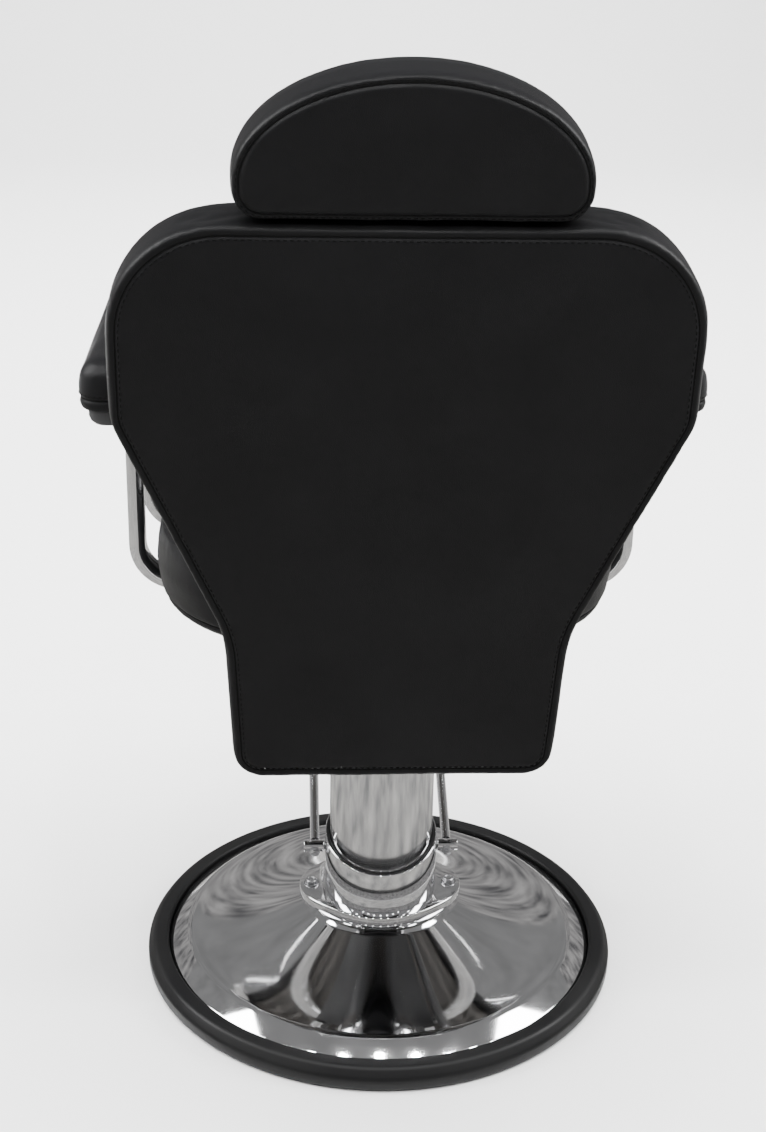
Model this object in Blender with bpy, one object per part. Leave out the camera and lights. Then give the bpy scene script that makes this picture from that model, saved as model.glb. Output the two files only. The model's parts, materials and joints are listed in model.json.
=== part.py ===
"""Reclining styling chair on a hydraulic pump, built as separate pieces.

Metres, +Z up.  The origin is the floor point on the column's axis.  The
sitter faces -Y, so the backrest is on the +Y side.
"""

import math

import bmesh
import bpy
from mathutils import Vector

GAP = 0.0003                 # clearance between touching pieces

# base and pump
RING_R = 0.300
RING_INNER_R = 0.2735
RING_H = 0.030
BELL_R = 0.2730
BELL_TOP_Z = 0.084
BELL_TOP_R = 0.092
BELL_SHOULDER = (0.2409, 0.0390)
SHEET = 0.0025               # spun sheet steel
FLOOR_PLATE_H = 0.008
FLANGE_H = 0.010
FLANGE_X = 0.104
FLANGE_Y = 0.084
EAR_BOLT_X = 0.089
COLLAR_R = 0.0712
COLLAR_INNER_R = 0.0693
COLLAR_MID_Z = 0.172         # height of the sloping rim at the sides
COLLAR_SLOPE = 0.33          # fall of the rim towards the rear, per metre
COVER_R = 0.0655
COVER_INNER_R = 0.0637
COVER_TOP_Z = 0.402
CYLINDER_R = 0.056
CYLINDER_TOP_Z = 0.350
RAM_R = 0.0225
RAM_BOTTOM_Z = 0.178
RAM_TOP_Z = 0.4400

# foot pedal
SHAFT_Z = 0.150
SHAFT_R = 0.0050
HUB_R = 0.0078
NUT_H = 0.0062
HUB_X = (0.0730, 0.0985)
ROD_X = 0.0845
ROD_R = 0.0060
ROD_SLOPE = math.radians(20)
PEDAL_REACH = 0.315          # along the rods, from the shaft to the crossbar
CAM_REACH = 0.036
CAM_ROOM = 0.0205

# seat
SWIVEL_Z = 0.4113
RAIL_X = 0.100
RAIL_Z = (0.4506, 0.4906)
SEAT_HALF_W = 0.267
SEAT_REAR_Y = 0.147
SEAT_FRONT_Y = -0.365
SEAT_BOTTOM_Z = 0.4912
SEAT_TOP_Z = 0.605
BOARD_T = 0.012

# arms
ARM_TUBE_X = 0.305
ARM_TUBE_T = 0.020
ARM_TUBE_W = 0.040
ARM_TUBE_Z = (0.4805, 0.7300)
ARM_LEG_Y = (-0.100, -0.300)
ARM_PAD_X = (0.273, 0.345)
ARM_PAD_Y = (-0.295, 0.135)
ARM_PAD_Z = (0.7685, 0.826)
ARM_BOARD_Z = (0.7505, 0.7682)

# backrest, in its own leaning frame: X across, Y to the rear, Z up the back
HINGE_Y = 0.150
HINGE_Z = 0.470
BACK_LEAN = math.radians(9)
BACK_Y = 0.215
BACK_Z = 0.370
BACK_H = 0.647
BACK_HALF_W = 0.292
BACK_SHOULDER_R = 0.114
BACK_WAIST = 0.1775
HEADREST_Z = 0.650
HEADREST_HALF_W = 0.172
HEADREST_H = 0.143
HEADREST_WIDEST = 0.038
HEADREST_CORNER_R = 0.032
POST_X = 0.060
POST_R = 0.005
POST_DEPTH = 0.045           # depth of the posts' line behind the front, from the rear face

# gas spring under the seat, on the sitter's right
SPRING_X = -0.135
SPRING_FRONT = (-0.190, 0.437)
SPRING_REAR = (0.150, 0.415)

# footrest
FOOT_X = 0.105
FOOT_TOP = (-0.300, 0.4380)
FOOT_LOW = (-0.500, 0.205)
FOOT_R = 0.0110


# ---------------------------------------------------------------- scene

def clear_scene():
    for item in list(bpy.data.objects):
        bpy.data.objects.remove(item, do_unlink=True)


def material(name, colour, roughness, metallic=0.0):
    """A plain Principled material, shared by the pieces that name it."""
    existing = bpy.data.materials.get(name)
    if existing:
        return existing
    made = bpy.data.materials.new(name)
    made.use_nodes = True
    shader = made.node_tree.nodes["Principled BSDF"]
    shader.inputs["Base Color"].default_value = (*colour, 1.0)
    shader.inputs["Roughness"].default_value = roughness
    shader.inputs["Metallic"].default_value = metallic
    made.diffuse_color = (*colour, 1.0)
    return made


def chrome():
    return material("chrome", (0.80, 0.80, 0.82), 0.08, 1.0)


def steel():
    return material("steel", (0.45, 0.45, 0.46), 0.40, 1.0)


def black_paint():
    return material("black_paint", (0.03, 0.03, 0.03), 0.45)


def rubber():
    return material("rubber", (0.025, 0.025, 0.025), 0.75)


def vinyl():
    return material("vinyl", (0.018, 0.018, 0.019), 0.42)


def plywood():
    return material("plywood", (0.52, 0.36, 0.20), 0.70)


def plastic():
    return material("plastic", (0.030, 0.030, 0.032), 0.50)


def pivot(name, location, parent=None, lean=0.0):
    """An empty on a joint's axis; the pieces that move there hang from it."""
    empty = bpy.data.objects.new(name, None)
    bpy.context.collection.objects.link(empty)
    empty.location = location
    empty.rotation_euler = (lean, 0.0, 0.0)
    if parent:
        empty.parent = parent
        empty.location = Vector(location) - parent.location
    return empty


def add_object(name, mesh, finish, parent=None, local=False, smooth=True):
    """Link a mesh.  Coordinates are the row's unless the parent's are meant."""
    item = bpy.data.objects.new(name, mesh)
    bpy.context.collection.objects.link(item)
    mesh.materials.append(finish)
    if smooth:
        mesh.shade_smooth()
        mesh.set_sharp_from_angle(angle=math.radians(35))
    if parent:
        item.parent = parent
        if not local:
            item.location = -parent.location
    return item


def cutter(name, mesh, target):
    """Cut a closed mesh out of target with an exact Boolean."""
    tool = bpy.data.objects.new(name, mesh)
    bpy.context.collection.objects.link(tool)
    tool.hide_render = True
    tool.display_type = "WIRE"
    tool.parent = target.parent
    tool.location = target.location
    cut = target.modifiers.new(name, "BOOLEAN")
    cut.operation = "DIFFERENCE"
    cut.solver = "EXACT"
    cut.object = tool


# ---------------------------------------------------------------- shapes

def mesh_from(name, bm):
    bmesh.ops.recalc_face_normals(bm, faces=bm.faces)
    mesh = bpy.data.meshes.new(name)
    bm.to_mesh(mesh)
    bm.free()
    return mesh


def loft(name, rings, closed=False):
    """Skin equal rings of points.  Open stacks get a cap at each end."""
    bm = bmesh.new()
    rows = [[bm.verts.new(point) for point in ring] for ring in rings]
    count = len(rows[0])
    pairs = list(zip(rows, rows[1:]))
    if closed:
        pairs.append((rows[-1], rows[0]))
    for low, high in pairs:
        for i in range(count):
            j = (i + 1) % count
            bm.faces.new((low[i], low[j], high[j], high[i]))
    if not closed:
        bm.faces.new(rows[0])
        bm.faces.new(rows[-1])
    return mesh_from(name, bm)


def circle(radius, z, sides, centre=(0.0, 0.0)):
    step = 2 * math.pi / sides
    return [(centre[0] + radius * math.cos(i * step),
             centre[1] + radius * math.sin(i * step), z) for i in range(sides)]


def turned(name, profile, sides=48, centre=(0.0, 0.0), closed=True):
    """Turn (radius, height) points about a vertical line.

    A closed profile makes a ring; an open one is capped at both ends.
    """
    return loft(name, [circle(r, z, sides, centre) for r, z in profile], closed)


def box(name, low, high):
    bm = bmesh.new()
    bmesh.ops.create_cube(bm, size=1.0)
    low, high = Vector(low), Vector(high)
    for vert in bm.verts:
        vert.co = [(low[k] + high[k]) / 2 + vert.co[k] * (high[k] - low[k]) for k in range(3)]
    return mesh_from(name, bm)


def rod(name, start, end, radius, sides=16, inner=None):
    """A straight round bar, or a tube when inner is given."""
    return turned_along(name, start, end, [(radius, 0.0), (radius, 1.0)], sides, inner)


def turned_along(name, start, end, profile, sides=16, inner=None):
    """Turn (radius, fraction of length) points about the line start-end."""
    start, end = Vector(start), Vector(end)
    turn = (end - start).to_track_quat("Z", "Y").to_matrix()
    length = (end - start).length
    rings = [[start + turn @ Vector(p) for p in circle(r, f * length, sides)] for r, f in profile]
    if inner is None:
        return loft(name, rings)
    back = [[start + turn @ Vector(p) for p in circle(inner, f * length, sides)] for f in (1.0, 0.0)]
    return loft(name, rings + back, closed=True)


def bent_bar(name, path, radius, sides=12):
    """A round bar along a path that stays in one plane or turns gently."""
    path = [Vector(p) for p in path]
    up = Vector((0.0, 0.0, 1.0))
    if abs((path[1] - path[0]).normalized().dot(up)) > 0.9:
        up = Vector((0.0, 1.0, 0.0))
    rings = []
    for i, point in enumerate(path):
        ahead = path[min(i + 1, len(path) - 1)] - path[max(i - 1, 0)]
        ahead.normalize()
        side = ahead.cross(up).normalized()
        up = side.cross(ahead).normalized()
        ring = []
        for k in range(sides):
            angle = 2 * math.pi * k / sides
            ring.append(point + radius * (math.cos(angle) * side + math.sin(angle) * up))
        rings.append(ring)
    return loft(name, rings)


def fillet(corners, steps=6):
    """Round the corners (x, y, radius) of a polygon; returns (x, y) points."""
    points = []
    count = len(corners)
    for i in range(count):
        here = Vector(corners[i][:2])
        radius = corners[i][2]
        if radius == 0:
            points.append(tuple(here))
            continue
        before = (Vector(corners[i - 1][:2]) - here).normalized()
        after = (Vector(corners[(i + 1) % count][:2]) - here).normalized()
        half = before.angle(after) / 2
        reach = radius / math.tan(half)
        middle = here + (before + after).normalized() * (radius / math.sin(half))
        first = here + before * reach - middle
        last = here + after * reach - middle
        sweep = first.angle_signed(last)
        for k in range(steps + 1):
            angle = -sweep * k / steps
            turned_by = Vector((first.x * math.cos(angle) - first.y * math.sin(angle),
                                first.x * math.sin(angle) + first.y * math.cos(angle)))
            points.append(tuple(middle + turned_by))
    return points


def inset(outline, amount):
    """Move a closed anticlockwise outline inwards by amount."""
    count = len(outline)
    moved = []
    for i in range(count):
        a, b, c = (Vector(outline[k % count]) for k in (i - 1, i, i + 1))
        first = (b - a).normalized()
        second = (c - b).normalized()
        normal = Vector((-(first.y + second.y), first.x + second.x))
        normal.normalize()
        stretch = max(0.5, normal.dot(Vector((-first.y, first.x))))
        moved.append(tuple(b + normal * (amount / stretch)))
    return moved


def plate(name, outline, axis, low, high):
    """Extrude a flat outline.  axis X takes (y, z) points, Z takes (x, y)."""
    def place(point, depth):
        if axis == "X":
            return (depth, point[0], point[1])
        return (point[0], point[1], depth)
    return loft(name, [[place(p, d) for p in outline] for d in (low, high)])


def hexagon(radius, z, centre):
    """Twelve points round a hexagon, so that it skins onto a 12-sided circle."""
    points = []
    for i in range(12):
        r = radius if i % 2 == 0 else radius * math.cos(math.pi / 6)
        angle = math.pi * i / 6
        points.append((centre[0] + r * math.cos(angle), centre[1] + r * math.sin(angle), z))
    return points


# ---------------------------------------------------------------- base

def build_base():
    ring = [(RING_INNER_R, 0.0), (RING_R - 0.006, 0.0), (RING_R, 0.006), (RING_R, 0.020),
            (RING_R - 0.004, 0.0275), (RING_R - 0.010, RING_H), (RING_INNER_R + 0.004, RING_H),
            (RING_INNER_R, 0.027)]
    add_object("base_rubber_ring", turned("base_rubber_ring", ring, 40), rubber())

    plate_r = BELL_R - 0.002
    disc = [(plate_r, 0.0), (plate_r, FLOOR_PLATE_H)]
    disc = turned("base_floor_plate", disc, 40, closed=False)
    add_object("base_floor_plate", disc, black_paint())

    foot_z = FLOOR_PLATE_H + GAP
    shoulder_r, shoulder_z = BELL_SHOULDER
    outer = [(BELL_R, foot_z), (BELL_R, 0.0190), (BELL_R - 0.004, 0.0252), (0.2495, 0.0364),
             (shoulder_r, shoulder_z)]
    rise = BELL_TOP_Z - 0.004 - shoulder_z
    steps = 6
    for i in range(1, steps):
        t = i / steps
        radius = shoulder_r + (BELL_TOP_R + 0.006 - shoulder_r) * t
        height = shoulder_z + 0.010 * t + (rise - 0.010) * t ** 1.6
        outer.append((radius, height))
    outer += [(BELL_TOP_R + 0.005, BELL_TOP_Z - 0.003), (BELL_TOP_R, BELL_TOP_Z),
              (0.060, BELL_TOP_Z)]
    inner = [(0.060, BELL_TOP_Z - SHEET), (BELL_TOP_R - 0.001, BELL_TOP_Z - SHEET)]
    inner += [(r - 0.0012, z - SHEET) for r, z in reversed(outer[3:-3:2])]
    inner += [(BELL_R - 0.006, 0.0252 - SHEET), (BELL_R - SHEET, 0.0175), (BELL_R - SHEET, foot_z)]
    add_object("base_bell", turned("base_bell", outer + inner, 40), chrome())


def build_flange():
    low = BELL_TOP_Z + GAP
    high = low + FLANGE_H
    outline = []
    sides = 32
    for i in range(sides):
        angle = 2 * math.pi * i / sides
        ear = abs(math.cos(angle)) ** 6
        radius = FLANGE_Y + (FLANGE_X - FLANGE_Y) * ear
        outline.append((radius * math.cos(angle), radius * math.sin(angle)))
    flange = add_object("pump_flange", plate("pump_flange", outline, "Z", low, high), chrome())
    hole = turned("flange_bore", [(0.0575, low - 0.01), (0.0575, high + 0.01)], 32, closed=False)
    cutter("flange_bore", hole, flange)
    for side, x in (("left", EAR_BOLT_X), ("right", -EAR_BOLT_X)):
        hole = turned("ear_hole_" + side, [(0.0046, low - 0.01), (0.0046, high + 0.01)],
                      12, (x, 0.0), closed=False)
        cutter("ear_hole_" + side, hole, flange)
        head = [hexagon(0.0075, high + GAP + 0.0060, (x, 0.0)), hexagon(0.0075, high + GAP, (x, 0.0))]
        shank = [circle(0.0041, z, 12, (x, 0.0)) for z in (high + GAP, BELL_TOP_Z - 0.012)]
        name = "flange_bolt_" + side
        add_object(name, loft(name, head + shank), steel())
        hole = turned("bell_hole_" + side, [(0.0046, BELL_TOP_Z - 0.02), (0.0046, low + 0.0001)],
                      12, (x, 0.0), closed=False)
        cutter("bell_hole_" + side, hole, bpy.data.objects["base_bell"])


def sloping_tube(name, outer, inner, low, lift, sides=40):
    """A tube whose upper rim falls towards the rear."""
    def rim(radius):
        ring = circle(radius, 0.0, sides)
        return [(x, y, COLLAR_MID_Z + lift - COLLAR_SLOPE * y) for x, y, z in ring]
    rings = [circle(inner, low, sides), circle(outer, low, sides), rim(outer), rim(inner)]
    return loft(name, rings, closed=True)


def cross_hole(name, target, radius, low_x, high_x):
    hole = rod(name, (low_x, 0.0, SHAFT_Z), (high_x, 0.0, SHAFT_Z), radius, 16)
    cutter(name, hole, target)


def build_pump():
    low = BELL_TOP_Z + FLANGE_H + 2 * GAP
    collar = sloping_tube("pump_collar", COLLAR_R, COLLAR_INNER_R, low, 0.0)
    collar = add_object("pump_collar", collar, chrome())
    cross_hole("collar_shaft_hole", collar, SHAFT_R + 0.001, -0.09, 0.09)

    seal = sloping_tube("collar_seal", COLLAR_INNER_R - GAP, COVER_R + GAP, 0.136, -0.0015)
    seal = add_object("collar_seal", seal, rubber())
    trim = box("seal_shaft_gap", (-0.09, -0.010, SHAFT_Z - 0.02), (0.09, 0.010, SHAFT_Z + 0.0085))
    cutter("seal_shaft_gap", trim, seal)

    body = [(CYLINDER_R, low), (CYLINDER_R, CYLINDER_TOP_Z), (RAM_R + 0.0006, CYLINDER_TOP_Z),
            (RAM_R + 0.0006, 0.176)]
    cylinder = turned("pump_cylinder", body, 40, closed=False)
    cylinder = add_object("pump_cylinder", cylinder, steel())
    cross_hole("cylinder_shaft_hole", cylinder, SHAFT_R + 0.0006, -0.09, 0.09)
    pocket = box("cam_pocket", (-0.009, -0.013, SHAFT_Z - 0.013), (0.009, 0.090, SHAFT_Z + CAM_ROOM))
    cutter("cam_pocket", pocket, cylinder)
    bore = turned("plunger_bore", [(0.0066, SHAFT_Z), (0.0066, 0.2165)], 16,
                  (0.0, CAM_REACH), closed=False)
    cutter("plunger_bore", bore, cylinder)

    gland = [(RAM_R + 0.0006, CYLINDER_TOP_Z + GAP), (0.036, CYLINDER_TOP_Z + GAP),
             (0.036, CYLINDER_TOP_Z + 0.010), (0.033, CYLINDER_TOP_Z + 0.012),
             (RAM_R + 0.0006, CYLINDER_TOP_Z + 0.012)]
    add_object("gland_nut", turned("gland_nut", gland, 32), steel())

    turns, per_turn = 3, 8
    low_z, high_z = 0.1858, 0.2152
    path = []
    for i in range(turns * per_turn + 1):
        angle = 2 * math.pi * i / per_turn
        height = low_z + (high_z - low_z) * i / (turns * per_turn)
        path.append((0.0046 * math.cos(angle), CAM_REACH + 0.0046 * math.sin(angle), height))
    add_object("plunger_spring", bent_bar("plunger_spring", path, 0.0008, 5), steel())


# ---------------------------------------------------------------- pedal

def pedal_point(x, along):
    """A point on the leaning plane of the pedal rods."""
    return (x, -along * math.cos(ROD_SLOPE), SHAFT_Z + along * math.sin(ROD_SLOPE))


def build_pedal():
    frame = pivot("pedal_pivot", (0.0, 0.0, SHAFT_Z))
    shaft = rod("rocker_shaft", (-HUB_X[1], 0, SHAFT_Z), (HUB_X[1], 0, SHAFT_Z), SHAFT_R, 16)
    add_object("rocker_shaft", shaft, steel(), frame)

    corners = [(-0.0090, -0.0080, 0.006), (0.004, -0.0095, 0.004), (CAM_REACH, -0.003, 0.002),
               (CAM_REACH, 0.0040, 0.002), (0.006, 0.0060, 0.003), (-0.0090, 0.0060, 0.004)]
    outline = [(y, SHAFT_Z + z) for y, z in fillet(corners, 3)]
    cam = add_object("rocker_cam", plate("rocker_cam", outline, "X", -0.007, 0.007), steel(), frame)
    bore = rod("cam_bore", (-0.02, 0, SHAFT_Z), (0.02, 0, SHAFT_Z), SHAFT_R + GAP, 16)
    cutter("cam_bore", bore, cam)

    for side, sign in (("left", 1), ("right", -1)):
        name = "pedal_hub_" + side
        ends = [(sign * x, 0, SHAFT_Z) for x in HUB_X]
        add_object(name, rod(name, *ends, HUB_R, 20, SHAFT_R + GAP), chrome(), frame)
        name = "pedal_nut_" + side
        near = pedal_point(sign * ROD_X, -HUB_R - GAP)
        far = pedal_point(sign * ROD_X, -HUB_R - NUT_H)
        nut = turned_along(name, near, far, [(0.0066, 0), (0.0066, 0.8), (0.0055, 1)], 6)
        add_object(name, nut, steel(), frame, smooth=False)

    bend = 0.030
    path = [pedal_point(ROD_X, HUB_R + GAP)]
    steps = 6
    for sign in (1, -1):
        arc = []
        for i in range(steps + 1):
            angle = math.pi / 2 * i / steps
            across = ROD_X - bend + bend * math.cos(angle)
            along = PEDAL_REACH - bend + bend * math.sin(angle)
            arc.append(pedal_point(sign * across, along))
        path += arc if sign == 1 else arc[::-1]
    path.append(pedal_point(-ROD_X, HUB_R + GAP))
    add_object("pedal_bar", bent_bar("pedal_bar", path, ROD_R, 12), chrome(), frame)
    ends = [pedal_point(x, PEDAL_REACH) for x in (0.050, -0.050)]
    add_object("pedal_sleeve", rod("pedal_sleeve", *ends, 0.0115, 16, ROD_R + GAP), rubber(), frame)


def build_plunger():
    frame = pivot("plunger_slide", (0.0, CAM_REACH, SHAFT_Z))
    foot = SHAFT_Z + 0.0045
    body = [(0.0045, foot), (0.0060, foot + 0.002), (0.0060, 0.1835), (0.0050, 0.1845)]
    mesh = turned("pump_plunger", body, 16, (0.0, CAM_REACH), closed=False)
    add_object("pump_plunger", mesh, steel(), frame)


# ---------------------------------------------------------------- lift

def build_lift():
    frame = pivot("lift_slide", (0.0, 0.0, CYLINDER_TOP_Z))
    ram = [(RAM_R - 0.002, RAM_BOTTOM_Z), (RAM_R, RAM_BOTTOM_Z + 0.002), (RAM_R, RAM_TOP_Z - 0.004),
           (RAM_R - 0.003, RAM_TOP_Z)]
    add_object("piston_ram", turned("piston_ram", ram, 32, closed=False), chrome(), frame)

    tube = [(COVER_INNER_R, 0.118), (COVER_R, 0.118), (COVER_R, COVER_TOP_Z),
            (COVER_INNER_R, COVER_TOP_Z)]
    cover = add_object("column_cover", turned("column_cover", tube, 40), chrome(), frame)
    notch = box("cover_notch", (-0.09, -0.008, 0.10), (0.09, 0.008, SHAFT_Z + 0.008))
    cutter("cover_notch", notch, cover)

    cap_low = COVER_TOP_Z + GAP
    cap_high = cap_low + 0.0052
    cap = [(RAM_R + GAP, cap_low), (COVER_R, cap_low), (COVER_R, cap_high - 0.0015),
           (COVER_R - 0.0015, cap_high), (RAM_R + GAP, cap_high)]
    add_object("column_cap", turned("column_cap", cap, 40), chrome(), frame)
    race = [(RAM_R + 0.001, cap_high + GAP), (0.034, cap_high + GAP),
            (0.034, SWIVEL_Z - GAP), (RAM_R + 0.001, SWIVEL_Z - GAP)]
    add_object("thrust_bearing", turned("thrust_bearing", race, 32), steel(), frame)


# ---------------------------------------------------------------- seat

def seat_outline(shrink=0.0):
    """The cushion's plan: wide round rear corners, smaller front corners."""
    corners = [(-SEAT_HALF_W, SEAT_FRONT_Y + 0.020, 0.085), (0.0, SEAT_FRONT_Y, 1.2),
               (SEAT_HALF_W, SEAT_FRONT_Y + 0.020, 0.085), (SEAT_HALF_W, SEAT_REAR_Y, 0.180),
               (-SEAT_HALF_W, SEAT_REAR_Y, 0.180)]
    return inset(fillet(corners, 8), shrink)


def build_seat_frame(frame):
    top = RAM_TOP_Z + 0.004
    socket_r = 0.038
    rings = [circle(RAM_R + 0.0006, RAM_TOP_Z + 0.0006, 32), circle(RAM_R + 0.0006, SWIVEL_Z, 32)]
    rings += [circle(socket_r, z, 32) for z in (SWIVEL_Z, top)]
    add_object("swivel_socket", loft("swivel_socket", rings), steel(), frame)

    low = top + GAP
    mount = box("swivel_plate", (-0.120, -0.095, low), (0.120, 0.085, RAIL_Z[0] - GAP))
    add_object("swivel_plate", mount, black_paint(), frame, smooth=False)

    for side, x in (("left", RAIL_X), ("right", -RAIL_X)):
        name = "seat_rail_" + side
        wall = 0.002
        half = 0.015
        rings = []
        for y, inward in ((-0.330, 0), (0.090, 0), (0.090, wall), (-0.330, wall)):
            wide = half - inward
            low_z, high_z = RAIL_Z[0] + inward, RAIL_Z[1] - inward
            rings.append([(x - wide, y, low_z), (x + wide, y, low_z),
                          (x + wide, y, high_z), (x - wide, y, high_z)])
        add_object(name, loft(name, rings, closed=True), black_paint(), frame, smooth=False)

    board = plate("seat_board", seat_outline(0.030), "Z", SEAT_BOTTOM_Z, SEAT_BOTTOM_Z + BOARD_T)
    add_object("seat_board", board, plywood(), frame, smooth=False)


def build_seat_cushion(frame):
    """Foam over the board: a recess below, a bulged wall and a crowned top."""
    pocket = 0.0300 - GAP
    floor_z = SEAT_BOTTOM_Z + BOARD_T + GAP
    stack = [(pocket, floor_z), (pocket, SEAT_BOTTOM_Z), (0.010, SEAT_BOTTOM_Z),
             (0.002, SEAT_BOTTOM_Z + 0.006), (-0.005, 0.513), (-0.010, 0.545), (-0.007, 0.575),
             (0.004, 0.592), (0.025, SEAT_TOP_Z - 0.004), (0.070, SEAT_TOP_Z)]
    rings = [[(x, y, z) for x, y in seat_outline(shrink)] for shrink, z in stack]
    add_object("seat_cushion", loft("seat_cushion", rings), vinyl(), frame)


def oval(centre, wide_axis, thin_axis, sides=12):
    """A flat-oval tube section: straight flanks and round edges."""
    ring = []
    straight = (ARM_TUBE_W - ARM_TUBE_T) / 2
    for i in range(sides):
        angle = 2 * math.pi * (i + 0.5) / sides
        wide = math.cos(angle) * ARM_TUBE_T / 2
        wide += math.copysign(straight, wide)
        thin = math.sin(angle) * ARM_TUBE_T / 2
        ring.append(Vector(centre) + wide * Vector(wide_axis) + thin * Vector(thin_axis))
    return ring


def arm_frame(name, sign):
    """One chrome loop: in under the seat, up, along under the pad, and down."""
    low_z, high_z = ARM_TUBE_Z
    rear_y, front_y = ARM_LEG_Y
    knee = 0.050
    top = 0.060
    steps = 5
    y_axis = Vector((0, 1, 0))
    half = []

    def lower(leg_y):
        rings = [oval((sign * 0.1155, leg_y, low_z), y_axis, (0, 0, 1))]
        for i in range(steps + 1):
            angle = math.pi / 2 * i / steps
            x = ARM_TUBE_X - knee + knee * math.sin(angle)
            z = low_z + knee - knee * math.cos(angle)
            thin = Vector((-sign * math.sin(angle), 0, math.cos(angle)))
            rings.append(oval((sign * x, leg_y, z), y_axis, thin))
        return rings

    half += lower(rear_y)
    for i in range(steps + 1):
        angle = math.pi / 2 * i / steps
        y = rear_y - top + top * math.cos(angle)
        z = high_z - top + top * math.sin(angle)
        wide = Vector((0, math.cos(angle), math.sin(angle)))
        half.append(oval((sign * ARM_TUBE_X, y, z), wide, (-sign, 0, 0)))
    for i in range(steps + 1):
        angle = math.pi / 2 * i / steps
        y = front_y + top - top * math.sin(angle)
        z = high_z - top + top * math.cos(angle)
        wide = Vector((0, -math.sin(angle), math.cos(angle)))
        half.append(oval((sign * ARM_TUBE_X, y, z), wide, (-sign, 0, 0)))
    for ring in reversed(lower(front_y)):
        half.append(ring[:6][::-1] + ring[6:][::-1])
    return loft(name, half)


def arm_cushion_rings(half_w, y_range, z_range, stack):
    """Rings of a rounded bar: stack holds (shrink, height fraction)."""
    rings = []
    for shrink, fraction in stack:
        round_r = half_w * 0.8
        corners = [(-half_w, y_range[0], round_r), (half_w, y_range[0], round_r),
                   (half_w, y_range[1], round_r), (-half_w, y_range[1], round_r)]
        outline = inset(fillet(corners, 4), shrink)
        height = z_range[0] + (z_range[1] - z_range[0]) * fraction
        rings.append([(x, y, height) for x, y in outline])
    return rings


def build_arms(frame):
    middle = sum(ARM_PAD_X) / 2
    for side, sign in (("left", 1), ("right", -1)):
        name = "arm_frame_" + side
        add_object(name, arm_frame(name, sign), chrome(), frame)
        for name, half_w, y_range, z_range, stack, finish in (
                ("arm_board_" + side, 0.025, (ARM_PAD_Y[0] + 0.02, ARM_PAD_Y[1] - 0.012),
                 ARM_BOARD_Z, [(0.008, 0.0), (0.001, 0.45), (0.0, 1.0)], plastic()),
                ("arm_pad_" + side, (ARM_PAD_X[1] - ARM_PAD_X[0]) / 2, ARM_PAD_Y, ARM_PAD_Z,
                 [(0.010, 0.0), (0.002, 0.16), (0.0, 0.45), (0.004, 0.75), (0.013, 0.95),
                  (0.022, 1.0)], vinyl())):
            rings = arm_cushion_rings(half_w, y_range, z_range, stack)
            shift = sign * middle
            rings = [[(x + shift, y, z) for x, y, z in ring] for ring in rings]
            add_object(name, loft(name, rings), finish, frame)


def build_hinge_plates(frame):
    """Plates bolted to the rails, carrying the backrest's hinge pins."""
    for side, sign in (("left", 1), ("right", -1)):
        name = "hinge_plate_" + side
        corners = [(-0.020, 0.4560, 0.006), (0.110, 0.4560, 0.020),
                   (HINGE_Y, HINGE_Z - 0.0165, 0.012), (HINGE_Y + 0.0155, HINGE_Z, 0.006),
                   (HINGE_Y, HINGE_Z + 0.0165, 0.012), (-0.020, 0.4868, 0.006)]
        near, far = sorted((sign * 0.1155, sign * 0.1205))
        wall = add_object(name, plate(name, fillet(corners, 3), "X", near, far), black_paint(), frame)
        hole = rod("pin_hole_" + side, (sign * 0.10, HINGE_Y, HINGE_Z),
                   (sign * 0.13, HINGE_Y, HINGE_Z), 0.0060, 16)
        cutter("pin_hole_" + side, hole, wall)
        name = "hinge_pin_" + side
        ends = [(sign * x, HINGE_Y, HINGE_Z) for x in (0.1080, 0.1320)]
        profile = [(0.0095, 0.0), (0.0095, 0.29), (0.0055, 0.291), (0.0055, 1.0)]
        add_object(name, turned_along(name, *ends, profile, 16), steel(), frame)


def build_footrest(frame):
    """A bent chrome bar hung from the front of the rails, with a rubber tread."""
    top, low = Vector((0, *FOOT_TOP)), Vector((0, *FOOT_LOW))
    down = (low - top).normalized()
    bend = 0.045
    reach = (low - top).length
    flat = Vector((0, 1, 0))
    path = []
    steps = 5
    for sign in (1, -1):
        side = []
        side.append(top + flat * 0.200 + Vector((sign * FOOT_X, 0, 0)))
        for i in range(steps + 1):
            angle = i / steps
            here = top + flat * 0.030 * (1 - angle) ** 2 + down * 0.030 * angle ** 2
            side.append(here + Vector((sign * FOOT_X, 0, 0)))
        for i in range(steps + 1):
            angle = math.pi / 2 * i / steps
            across = FOOT_X - bend + bend * math.cos(angle)
            side.append(top + down * (reach - bend + bend * math.sin(angle))
                        + Vector((sign * across, 0, 0)))
        path += side if sign == 1 else side[::-1]
    add_object("footrest_bar", bent_bar("footrest_bar", path, FOOT_R, 12), chrome(), frame)
    ends = [low + Vector((x, 0, 0)) for x in (0.056, -0.056)]
    add_object("footrest_tread", rod("footrest_tread", *ends, 0.0175, 20, FOOT_R + GAP),
               rubber(), frame)


def build_seat():
    frame = pivot("seat_swivel", (0.0, 0.0, SWIVEL_Z))
    build_seat_frame(frame)
    build_seat_cushion(frame)
    build_arms(frame)
    build_hinge_plates(frame)
    build_footrest(frame)
    return frame


# ---------------------------------------------------------------- recline gear

def spring_point(along, lift=0.0):
    """A point on the gas spring's line, measured from its front eye."""
    front, rear = Vector(SPRING_FRONT), Vector(SPRING_REAR)
    line = (rear - front).normalized()
    spot = front + line * along + Vector((-line.y, line.x)) * lift
    return (SPRING_X, spot.x, spot.y)


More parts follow.
